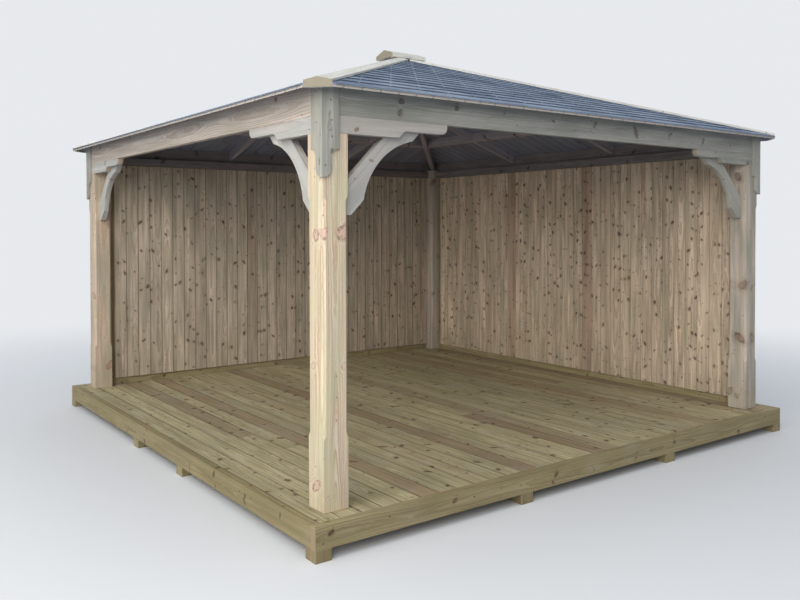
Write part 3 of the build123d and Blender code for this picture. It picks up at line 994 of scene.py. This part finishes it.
# Paler than the other pine to paint sunlight on the caps; the darker end grain partly paints shade on the
# cap ends
cap_pine_with_painted_sun = timber(
    "pale_pine_caps_with_painted_sun", {**BEAM_FIGURE, "Knot Share": 0.5},
    wood((238, 236, 228), (212, 200, 180), (222, 220, 206), (226, 224, 212),
         ((160, 128, 100), (104, 80, 62), (190, 172, 144)), (0.6, 0.5, 0.08, 0.4, 0.03)),
    bloom=0.3, end_grain=rgb(148, 135, 108),
)

# %% [markdown]
# ## Posts, beams, brackets and braces
#
# These carry the roof, and their true outlines are already in the frame: stopped chamfers, notches,
# stepped noses and arches. Each gets its arrises rounded and its grain laid along its own length.
# The braces are sawn from planks at 45 degrees, so their grain runs up the slant.

# %% Frame timbers
SLANT = {"west": 1, "east": -1}

# The back-right post takes the greyer silver finish partly as painted shade of the boarded corner
POST_FINISHES = {"front_left": post_pine, "front_right": silver_pine, "back_left": tan_pine,
                 "back_right": silver_pine}
BEAM_FINISHES = {"front": treated_pine_with_painted_shade, "right": pine_with_painted_shade, "back": pine_with_painted_shade, "left": warm_pine_with_painted_light}
# Knots sit in whorls. One whorl of the near post is set at this height, and the others follow from it
WHORL_HEIGHT = 0.94
WHORLS_BELOW = 10
WHORL_SPACING = POST_FIGURE["Row Height"] * POST_FIGURE["Whorl Rows"]

for corner, finish in POST_FINISHES.items():
    node = "post_" + corner
    low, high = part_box(node)
    middle = (low.z + high.z) / 2
    start = WHORLS_BELOW * WHORL_SPACING + POST_FIGURE["Row Height"] / 2 - WHORL_HEIGHT + middle
    finish_timber(node, UP, finish, SOFT_ARRIS, start if corner == "front_left" else None)

for side, finish in BEAM_FINISHES.items():
    run = turned(side) @ Vector((1, 0, 0))
    finish_timber("beam_" + side, run, finish)
    if side not in ("front", "left"):
        continue
    for end, sign in SLANT.items():
        own_finish = treated_pine_with_painted_shade if (side, end) == ("front", "east") else pale_pine
        finish_timber(f"bracket_{side}_{end}", run, own_finish)
        finish_timber(f"brace_{side}_{end}", run * sign + UP, own_finish)

# %% [markdown]
# ## Corner boards
#
# Two shaped boards cover each outer corner under the eaves. They are thin, their grain runs
# upright, and they are of the same greenish treated pine as the front beam, whose darker colour
# partly paints shade.

# %% Corner boards
for side in QUARTER_TURNS:
    finish_timber("corner_boards_" + side, UP, treated_pine_with_painted_shade, CRISP_ARRIS)

# %% [markdown]
# ## Screws
#
# Screws hold the corner boards, and their dull heads show as small dark spots. A head is a short
# cylinder with a rounded rim. Its recess is an inset that is pushed down, after every second corner
# of it is drawn in to make a star. One head is modelled, and the others are copies of it.

# %% Screw material
SPOTS = (500.0, 3.0, 0.6)
SPOT_DEPTH = 0.0001
SPOT_RELIEF = 0.3
DULLNESS = (0.3, 0.7, 0.42, 0.62)
METALLIC = 0.9


def make_screw_material():
    """Dull zinc with darker spots."""
    material, tree, shader = blank_material("dull_zinc")
    spots = noise(place_on(tree), *SPOTS)
    colour = mixed(spots, rgb(74, 70, 64), rgb(120, 116, 108))
    wire(shader, colour, spots.step(*DULLNESS), spots, SPOT_RELIEF, SPOT_DEPTH, metallic=METALLIC)
    return material


dull_zinc = make_screw_material()
print("dull zinc", len(dull_zinc.node_tree.nodes), "nodes")

# %% [markdown]
# ## Screw heads
#
# A cylinder is the quickest start for a head, because a lathe would make the same form. Each board
# holds three screws, at heights that are not quite the same on the two boards of a corner.

# %% Screw heads
HEAD_RADIUS = 0.0045
HEAD_DEPTH = 0.002
HEAD_PROUD = 0.0005
HEAD_ROUND = 0.0006
HEAD_CORNERS = 12
STAR_WAIST = 0.7
RECESS_RADIUS = 0.0026
RECESS_DEPTH = 0.0014
# Distance from the corner of the gazebo and height, on the boards of each side
FRONT_SCREWS = ((0.054, 2.261), (0.052, 2.111), (0.022, 1.933))
SIDE_SCREWS = ((0.057, 2.305), (0.052, 2.150), (0.024, 1.940))


def screw_head():
    """A head that looks along +Z, sunk so that it stands HEAD_PROUD above z = 0."""
    clear()
    middle = (0, 0, HEAD_PROUD - HEAD_DEPTH / 2)
    bpy.ops.mesh.primitive_cylinder_add(vertices=HEAD_CORNERS, radius=HEAD_RADIUS, depth=HEAD_DEPTH,
                                        location=middle)
    piece = bpy.context.object
    settle()
    enter("EDIT")
    pick(piece, "edges", edge_at(lambda co: near(co.z, HEAD_PROUD)))
    bevel(HEAD_ROUND, segments=2)
    pick(piece, "faces", lambda f: f.normal.z > SQUARE_ON)
    bpy.ops.mesh.inset(thickness=HEAD_RADIUS - HEAD_ROUND - RECESS_RADIUS, depth=0)
    corner = FULL_TURN / HEAD_CORNERS

    def every_second(v):
        inner = near(v.co.z, HEAD_PROUD) and v.co.xy.length < RECESS_RADIUS
        return inner and round(math.atan2(v.co.x, v.co.y) / corner) % 2 == 0

    def in_the_middle(face):
        return face.normal.z > SQUARE_ON and face.calc_center_median().xy.length < RECESS_RADIUS

    pick(piece, "verts", every_second)
    bpy.ops.transform.resize(value=(STAR_WAIST, STAR_WAIST, 1), center_override=(0, 0, 0))
    pick(piece, "faces", in_the_middle)
    push(0, 0, -RECESS_DEPTH)
    enter("OBJECT")
    return piece


head = screw_head()
board_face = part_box("corner_boards_front")[1].x
for side in QUARTER_TURNS:
    parts = []
    for to_corner, height in FRONT_SCREWS if side in ("front", "back") else SIDE_SCREWS:
        for sign in (-1, 1):
            place = Matrix.Translation((sign * (board_face - to_corner), -board_face, height))
            parts.append(copy_of(head, turned(side) @ place @ Matrix.Rotation(math.pi / 2, 4, "X")))
    piece = join(f"corner_board_screws_{side}", parts)
    hand_over(piece, dull_zinc, [])
bpy.data.objects.remove(head)

# %% [markdown]
# ## Wall boarding
#
# The back and the right side are closed by upright boards with a tongue on one edge, a groove on
# the other and a small V where they meet. One board is shaped by hand: its edges are inset and
# pushed out or in, and its front arrises are bevelled. The wall is then a row of copies of it.

# %% Wall boards
BOARD_COVER = 0.113
BOARD_GAP = 0.002
TONGUE = 0.006
V_JOINT = 0.004
TONGUE_MARGIN = 0.33


def tongued_board(name, width, thickness, length):
    """A board that stands on z = 0 with its face at y = 0, looking towards -Y."""
    half = width / 2 - BOARD_GAP / 2
    piece = block(name, (-half, 0, 0), (half, thickness, length))
    enter("EDIT")
    for sign, travel in ((1, TONGUE), (-1, TONGUE + BOARD_GAP)):
        pick(piece, "faces", lambda f: f.normal.x * sign > SQUARE_ON)
        bpy.ops.mesh.inset(thickness=thickness * TONGUE_MARGIN, depth=0)
        push(travel, 0, 0)
    pick(piece, "edges", edge_at(lambda co: near(co.y, 0) and near(abs(co.x), half)))
    bevel(V_JOINT)
    enter("OBJECT")
    return piece


def row_of_boards(master, count, pitch, place):
    """Copies of a board in a row along x, centred, and then moved to their place."""
    starts = [(i - (count - 1) / 2) * pitch for i in range(count)]
    return [copy_of(master, place @ Matrix.Translation((start, 0, 0))) for start in starts]


for side, across in (("back", 0), ("right", 1)):
    node = "wall_boards_" + side
    low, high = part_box(node)
    width = high[across] - low[across]
    count = round(width / BOARD_COVER)
    master = tongued_board("wall_board", width / count, high[1 - across] - low[1 - across], high.z - low.z)
    # The face of the boards looks into the gazebo, so the row is turned to face the middle
    centre = (low + high) / 2
    face = Vector((centre.x, low.y, low.z)) if side == "back" else Vector((low.x, centre.y, low.z))
    turn = Matrix.Rotation(0 if side == "back" else -math.pi / 2, 4, "Z")
    parts = row_of_boards(master, count, width / count, Matrix.Translation(face) @ turn)
    piece = join(node + "_timber", parts)
    bpy.data.objects.remove(master)
    lay_grain(piece, UP)
    hand_over(piece, wall_pine if side == "back" else rosy_wall_pine, [node])
    print(side, "wall:", count, "boards of", round(width / count, 4))

# %% [markdown]
# ## Wall frame
#
# Behind the boards run a foot rail, a middle rail, two stiles and a head rail on each closed side.
# They are plain sawn timbers, seen from outside. The head rails take the darker pine with painted shade.

# %% Wall frame
for node, along, finish in (("wall_rails", along_the_eaves, rim_pine), ("wall_stiles", UP, rim_pine),
                            ("wall_head_rails", along_the_eaves, pine_with_painted_shade)):
    finish_timber(node, along, finish)

# %% [markdown]
# ## Deck
#
# The floor boards run from front to back and have a ribbed face so that they aren't slippery. The
# ribs are modelled: a grid is a flat sheet of narrow columns, every fourth line of it is pressed
# down, and the sheet is extruded down to the board's underside. Some boards are butted over a joist.

# %% Deck boards
DECK_BOARD = 0.120
DECK_GAP = 0.006
RIB_PITCH = 0.0092
BUTT_SHARE = 0.4
BUTT_GAP = 0.003

count = round((deck_high.x - deck_low.x) / (DECK_BOARD + DECK_GAP))
pitch = (deck_high.x - deck_low.x) / count
board_width = pitch - DECK_GAP
ribs = round(board_width / RIB_PITCH)


def ribbed_board(name, length):
    """A deck board from y = 0, with its ribbed face at z = 0."""
    clear()
    bpy.ops.mesh.primitive_grid_add(x_subdivisions=ribs * 4, y_subdivisions=1, size=1)
    piece = bpy.context.object
    piece.name = name
    piece.scale = (board_width, length, 1)
    piece.location = (0, length / 2, 0)
    settle()
    enter("EDIT")
    column = board_width / (ribs * 4)
    pick(piece, "verts", lambda v: round((v.co.x + board_width / 2) / column) % 4 == 2)
    shift(0, 0, -RIB_DEPTH)
    everything()
    push(0, 0, -deck_thickness)
    bpy.ops.transform.resize(value=(1, 1, 0))
    shift(0, 0, -deck_thickness - selected_height(piece))
    face_outwards()
    enter("OBJECT")
    return piece


def selected_height(piece):
    """Mean height of the selected corners in edit mode."""
    mesh = bmesh.from_edit_mesh(piece.data)
    heights = [v.co.z for v in mesh.verts if v.select]
    return sum(heights) / len(heights)


joists = sorted({round(v.co.y, 4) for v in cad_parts["deck_joists"].data.vertices})
joist_lines = [(a + b) / 2 for a, b in zip(joists[::2], joists[1::2])]
parts = []
for i in range(count):
    x = deck_low.x + (i + 0.5) * pitch
    cuts = [deck_low.y, deck_high.y]
    if rng.uniform() < BUTT_SHARE:
        cuts.insert(1, joist_lines[rng.integers(1, len(joist_lines) - 1)])
    for start, end in zip(cuts, cuts[1:]):
        first = start + (BUTT_GAP / 2 if start > deck_low.y else 0)
        last = end - (BUTT_GAP / 2 if end < deck_high.y else 0)
        part = ribbed_board("deck_board", last - first)
        part.data.transform(Matrix.Translation((x, first, deck_top)))
        parts.append(part)
deck = join("deck_boards_timber", parts)
lay_grain(deck, (0, 1, 0))
hand_over(deck, deck_pine, ["deck_boards"])
print("deck:", count, "rows of boards,", ribs, "ribs each")

# %% [markdown]
# ## Deck frame
#
# The boards rest on joists inside a frame of rim boards, and short stubs carry the frame. Only the
# rims show much, so all of it is dressed from the frame's own timbers in the darker deck finish.

# %% Deck frame
for node, along in (("deck_rims_long", (1, 0, 0)), ("deck_rims_short", (0, 1, 0)),
                    ("deck_joists", (1, 0, 0)), ("deck_stubs", (0, 0, 1))):
    finish_timber(node, along, rim_pine)

# %% [markdown]
# ## Roof frame
#
# Hips run from the corners to the apex block, jack rafters run up each slope to the hips, and short
# noggings tie them together. A rule from the place of each timber gives the direction of its grain.

# %% Roof frame


def up_the_slope(centre):
    """The direction up the slope that a point lies under."""
    x, y = centre[0], centre[1]
    on_y = abs(y) > abs(x)
    return Vector((0 if on_y else -math.copysign(1, x), -math.copysign(1, y) if on_y else 0, RISE))


def up_the_hip(centre):
    """The direction up the nearest hip."""
    inward = Vector((-math.copysign(1, centre[0]), -math.copysign(1, centre[1]), 0))
    return inward.normalized() + UP * HIP_RISE


hips = ["hip_front_left", "hip_front_right", "hip_back_left", "hip_back_right"]
piece = dressed(hips, "hip_rafters")
lay_grain(piece, up_the_hip)
hand_over(piece, rafter_pine_with_painted_shade, hips)
for node, along in (("jack_rafters", up_the_slope), ("noggings", along_the_eaves), ("apex_block", UP)):
    finish_timber(node, along, rafter_pine_with_painted_shade)

# %% [markdown]
# ## Roof boarding
#
# Boards run up each slope, and their sawn ends show as a pale strip under the shingles. A slope is
# laid as a rectangle of boards and then trimmed with straight cuts, as on the real roof: along the
# eaves, along both hips and square across each corner. Bisect makes a cut and closes the board end.
# It works on one board at a time, because its fill would tie the ends of neighbouring boards together.

# %% Roof boards
ROOF_BOARD_THICKNESS = 0.016
SAW_MARGIN = 0.05
# Corners that are nearer to a cut than this lie on it
ON_THE_CUT = 1e-6


def trim(parts, side, edge):
    """Saw the boards or tabs of a slope with upright cuts: both hips, both corners and the eaves."""
    turn = turned(side)
    cuts = [((0, 0, 0), (1, 1, 0)), ((0, 0, 0), (-1, 1, 0)), ((0, edge, 0), (0, -1, 0)),
            ((half_span, -half_span, 0), (1, -1, 0)), ((-half_span, -half_span, 0), (-1, -1, 0))]
    kept = []
    for part in parts:
        for place, outward in cuts:
            place, outward = turn @ Vector(place), turn.to_3x3() @ Vector(outward).normalized()
            beyond = [(v.co - place).dot(outward) for v in part.data.vertices]
            if max(beyond) < TINY:
                continue
            if min(beyond) > -TINY:
                bpy.data.objects.remove(part)
                part = None
                break
            alone(part)
            enter("EDIT")
            everything()
            bpy.ops.mesh.bisect(plane_co=place, plane_no=outward, use_fill=True, clear_outer=True,
                                threshold=ON_THE_CUT)
            face_outwards()
            enter("OBJECT")
        if part:
            kept.append(part)
    return kept


for side in QUARTER_TURNS:
    node = "roof_boards_" + side
    span = 2 * half_span
    count = round(span / BOARD_COVER)
    length = slope_length + 2 * SAW_MARGIN
    master = tongued_board("roof_board", span / count, ROOF_BOARD_THICKNESS, length)
    # Lay the board on its face, running up the slope, with the V joints underneath
    swap_y_and_z = Matrix(((1, 0, 0, 0), (0, 0, 1, 0), (0, 1, 0, 0), (0, 0, 0, 1)))
    lay = Matrix.Translation((0, -SAW_MARGIN, 0)) @ swap_y_and_z
    parts = row_of_boards(master, count, span / count, slope_frame(side) @ lay)
    bpy.data.objects.remove(master)
    piece = join(node + "_timber", trim(parts, side, eaves.y))
    boards = lay_grain(piece, up_the_slope(turned(side) @ Vector((0, -1, 0))))
    hand_over(piece, roof_pine_with_painted_shade, [node])
    print(side, "slope:", boards, "boards")

# %% [markdown]
# ## Shingles
#
# Felt shingles come in strips with three tabs. Each course overlaps the one below, so only a short
# length of every tab shows, and the butt of a tab throws a thin shadow. One tab is shaped as a wedge
# with clipped corners and copied in courses with staggered joints. A starter strip without slots lies
# under the first course and keeps the eaves closed. The slopes are then trimmed.

# %% Shingle material
EXPOSURE = 0.142
# Scale, detail and roughness of the three noises
GRIT = (900.0, 2.0, 0.7)
DAPPLES = (2.4, 4.0, 0.6)
SMALL_DAPPLES = (11.0, 3.0, 0.6)
GRIT_DEPTH = 0.0012
GRIT_RELIEF = 0.7
GRIT_ROUGHNESS = (0.3, 0.7, 0.85, 0.97)
FELT_GLOSS = 0.25


def make_shingle_material():
    """Slate-blue felt with mineral grit, painted pale dapples of light, and a painted shade line with some
    dust below the butts.
    """
    material, tree, shader = blank_material("slate_blue_felt")
    spot = place_on(tree)
    grit, dapples, small_dapples = noise(spot, *GRIT), noise(spot, *DAPPLES), noise(spot, *SMALL_DAPPLES)
    # A dark line just below each butt is painted shade with some dust; the courses are counted up the slope
    x, y, _ = parts_of(spot)
    outwards = abs(x).calc("MAXIMUM", abs(y))
    climbed = (outwards + shingle_edge) / (-EXPOSURE * math.cos(ROOF_PITCH))
    # The tab colours are set light, partly to paint the sky's reflection on the felt
    colour = mixed(attribute(tree, "board"), rgb(97, 111, 134), rgb(147, 161, 181))
    # Each layer has the limits of its mask, its strength and its tint
    # The large and small pale patches are painted dapples of light and sheen; the last layer is the painted
    # shade line
    for mask, tint in ((dapples.step(0.42, 0.64, 0.0, 0.55), rgb(158, 171, 188)),
                       (small_dapples.step(0.5, 0.72, 0.0, 0.4), rgb(172, 178, 186)),
                       (grit.step(0.58, 0.68, 0.0, 0.6), rgb(176, 182, 190)),
                       (grit.step(0.42, 0.32, 0.0, 0.6), rgb(38, 46, 62)),
                       (climbed.calc("FRACT").step(0.6, 0.95, 0.0, 0.7), rgb(34, 44, 64))):
        colour = mixed(mask, colour, tint)
    wire(shader, colour, grit.step(*GRIT_ROUGHNESS), grit, GRIT_RELIEF, GRIT_DEPTH, specular=FELT_GLOSS)
    return material


slate_felt = make_shingle_material()
print("slate-blue felt", len(slate_felt.node_tree.nodes), "nodes")

# %% [markdown]
# ## Courses of shingles
#
# The tabs lie on the roof boards, the first course reaches past them as a drip edge, and each course
# starts half a tab further along than the one below. A roofer's hand shows in the joints, so every
# tab slides up or down by a millimetre or so.

# %% Shingles
TAB_WIDTH = 0.200
TAB_SLOT = 0.006
BUTT_LIFT = 0.0036
BUTT_THICKNESS = 0.0028
HEAD_THICKNESS = 0.001
SLIDE = 0.0015
TAB_CORNER = 0.004

lip = (eaves.y - shingle_edge) / math.cos(ROOF_PITCH)
courses = math.ceil((slope_length + lip) / EXPOSURE)


def shingle_tab():
    """A tab with its butt at y = 0 that thins to its head two courses further up."""
    half = (TAB_WIDTH - TAB_SLOT) / 2
    piece = block("shingle_tab", (-half, 0, 0), (half, 2 * EXPOSURE, BUTT_THICKNESS))
    enter("EDIT")
    pick(piece, "verts", lambda v: near(v.co.y, 0))
    shift(0, 0, BUTT_LIFT)
    pick(piece, "verts", lambda v: v.co.y > EXPOSURE and v.co.z > HEAD_THICKNESS)
    shift(0, 0, HEAD_THICKNESS - BUTT_THICKNESS)
    pick(piece, "edges", edge_at(lambda co: near(co.y, 0) and near(abs(co.x), half)))
    bevel(TAB_CORNER)
    enter("OBJECT")
    return piece


def starter_strip(name, half):
    """The strip under the first course: a long wedge that fills the space below the tabs."""
    piece = block(name, (-half, 0, 0), (half, EXPOSURE, BUTT_LIFT))
    enter("EDIT")
    pick(piece, "verts", lambda v: v.co.y > 0 and v.co.z > 0)
    shift(0, 0, -BUTT_LIFT / 2)
    enter("OBJECT")
    return piece


tab = shingle_tab()
starter = starter_strip("starter", half_span + TAB_WIDTH)
for side in QUARTER_TURNS:
    node = "shingles_" + side
    slope = slope_frame(side, ROOF_BOARD_THICKNESS)
    parts = [copy_of(starter, slope @ Matrix.Translation((0, -lip, 0)))]
    for course in range(courses):
        start = course * EXPOSURE - lip
        half_width = min(half_span, (slope_length - start) * math.cos(ROOF_PITCH)) + TAB_WIDTH
        offset = (course % 2) * TAB_WIDTH / 2
        number = math.ceil(half_width / TAB_WIDTH)
        for i in range(-number, number + 1):
            x = i * TAB_WIDTH + offset
            place = Matrix.Translation((x, start + rng.uniform(-SLIDE, SLIDE), 0))
            parts.append(copy_of(tab, slope @ place))
    piece = join(node + "_tabs", trim(parts, side, shingle_edge))
    tabs = lay_grain(piece, up_the_slope(turned(side) @ Vector((0, -1, 0))))
    hand_over(piece, slate_felt, [node])
    print(side, "slope:", courses, "courses,", tabs, "tabs")
bpy.data.objects.remove(tab)
bpy.data.objects.remove(starter)

# %% [markdown]
# ## Caps
#
# Solid timber caps cover the hips and end square at the corners, and a short gabled cap sits over
# the apex. They are the palest timbers: their colour is set pale to paint the sun that falls on them,
# and their end grain darker, partly as painted shade on the ends.

# %% Hip caps and ridge cap
finish_timber("hip_caps", up_the_hip, cap_pine_with_painted_sun, SOFT_ARRIS)
finish_timber("ridge_cap", (1, 0, 0), cap_pine_with_painted_sun, SOFT_ARRIS)

# %% [markdown]
# ## The stage
#
# The floor is a plain pale sheet that keeps the shadow of the gazebo. Far from it, the floor fades
# into the colour of the background, so that no horizon line cuts the picture.

# %% Floor
BACKDROP = (0.80, 0.82, 0.85, 1.0)
FLOOR_RADIUS = 80.0
FLOOR_CORNERS = 96
FADE = (3.0, 9.0)
PALE_FLOOR = (0.84, 0.84, 0.83, 1)
FLOOR_BOUNCE = (0.32, 0.34, 0.385, 1)
FLOOR_ROUGHNESS = 0.9


def looked_at(tree):
    """1 for rays that look at a surface, straight or by gloss or glass, and 0 for its light."""
    ray = all_of(put(tree, "LightPath"))
    by_gloss_or_glass = ray["Is Glossy Ray"].calc("MAXIMUM", ray["Is Transmission Ray"])
    return ray["Is Camera Ray"].calc("MAXIMUM", by_gloss_or_glass)


def make_floor():
    """A large disc that fades into the background."""
    clear()
    bpy.ops.mesh.primitive_circle_add(vertices=FLOOR_CORNERS, radius=FLOOR_RADIUS, fill_type="NGON")
    floor = bpy.context.object
    floor.name = "floor"
    material, tree, shader = blank_material("pale_floor")
    away = out(put(tree, "VectorMath", {0: place_on(tree)}, operation="LENGTH"), "Value")
    seen = looked_at(tree)
    feed(shader, {"Base Color": mixed(seen, FLOOR_BOUNCE, PALE_FLOOR), "Roughness": FLOOR_ROUGHNESS})
    glow = put(tree, "Emission", {"Color": BACKDROP, "Strength": 1.0})
    blend = put(tree, "MixShader", {0: away.step(*FADE) * seen, 1: out(shader), 2: out(glow)})
    feed(tree.nodes["Material Output"], {"Surface": out(blend)})
    floor.data.materials.append(material)
    floor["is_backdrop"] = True


make_floor()
print("floor fades out between", FADE[0], "and", FADE[1], "m from the middle")

# %% [markdown]
# ## Light
#
# Three large soft panels stand in front and on the left, so that the left faces are bright, the
# front faces calmer and the boarded corner dark. A small lamp would be as bright, but its shadows
# would have hard edges.

# %% Lamps
PANEL_SIZE = 6.0
WARM_WHITE = (1.0, 0.985, 0.96)
PANELS = {
    "left_low_panel": ((-12.0, -2.0, 3.0), 290),
    "left_high_panel": ((-10.0, -4.0, 8.0), 320),
    "front_left_panel": ((-8.0, -9.0, 5.0), 450),
}


def panel(name, place, power):
    """A large soft lamp that looks at the middle of the gazebo."""
    data = bpy.data.lights.new(name, "AREA")
    data.shape = "DISK"
    data.size = PANEL_SIZE
    data.energy = power
    data.color = WARM_WHITE
    lamp = placed(name, data)
    lamp.visible_camera = False
    lamp.location = place
    lamp.rotation_euler = (UP - Vector(place)).to_track_quat("-Z", "Y").to_euler()


for name, settings in PANELS.items():
    panel(name, *settings)
print(len(PANELS), "panels of", PANEL_SIZE, "m")

# %% [markdown]
# ## Sky
#
# A cool sky fills in from everywhere, brightest near the horizon and overhead. The camera sees a
# plain pale background instead of it. The levels are set so that a colour renders about as it is
# written.

# %% World
SKY_COLOUR = (0.88, 0.96, 1.08, 1)
SKY_LOW = 0.74
SKY_MIDDLE = 0.12
SKY_HIGH = 0.9
LOW_TO_MIDDLE = (0.08, 0.35)
MIDDLE_TO_HIGH = (0.45, 0.85)

world = bpy.data.worlds.new("sky")
bpy.context.scene.world = world
world.use_nodes = True
sky = world.node_tree
sky.nodes.clear()
height = parts_of(out(put(sky, "TexCoord"), "Generated"))[2]
level = height.step(*LOW_TO_MIDDLE, SKY_LOW, SKY_MIDDLE)
level = level + height.step(*MIDDLE_TO_HIGH, 0.0, SKY_HIGH - SKY_MIDDLE)
fill = put(sky, "Background", {"Color": SKY_COLOUR, "Strength": level})
back = put(sky, "Background", {"Color": BACKDROP, "Strength": 1.0})
either = put(sky, "MixShader", {0: looked_at(sky), 1: out(fill), 2: out(back)})
put(sky, "OutputWorld", {"Surface": out(either)})
bpy.context.scene.view_settings.view_transform = "Standard"
print("sky nodes", len(sky.nodes))

# %% [markdown]
# ## The size of the result
#
# The dressed gazebo must be as large as its frame. Its box is printed, so that it can be read
# without opening the scene.

# %% Sizes and finish
low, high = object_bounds()
print("visual box", [round(v, 3) for v in (*low, *high)])
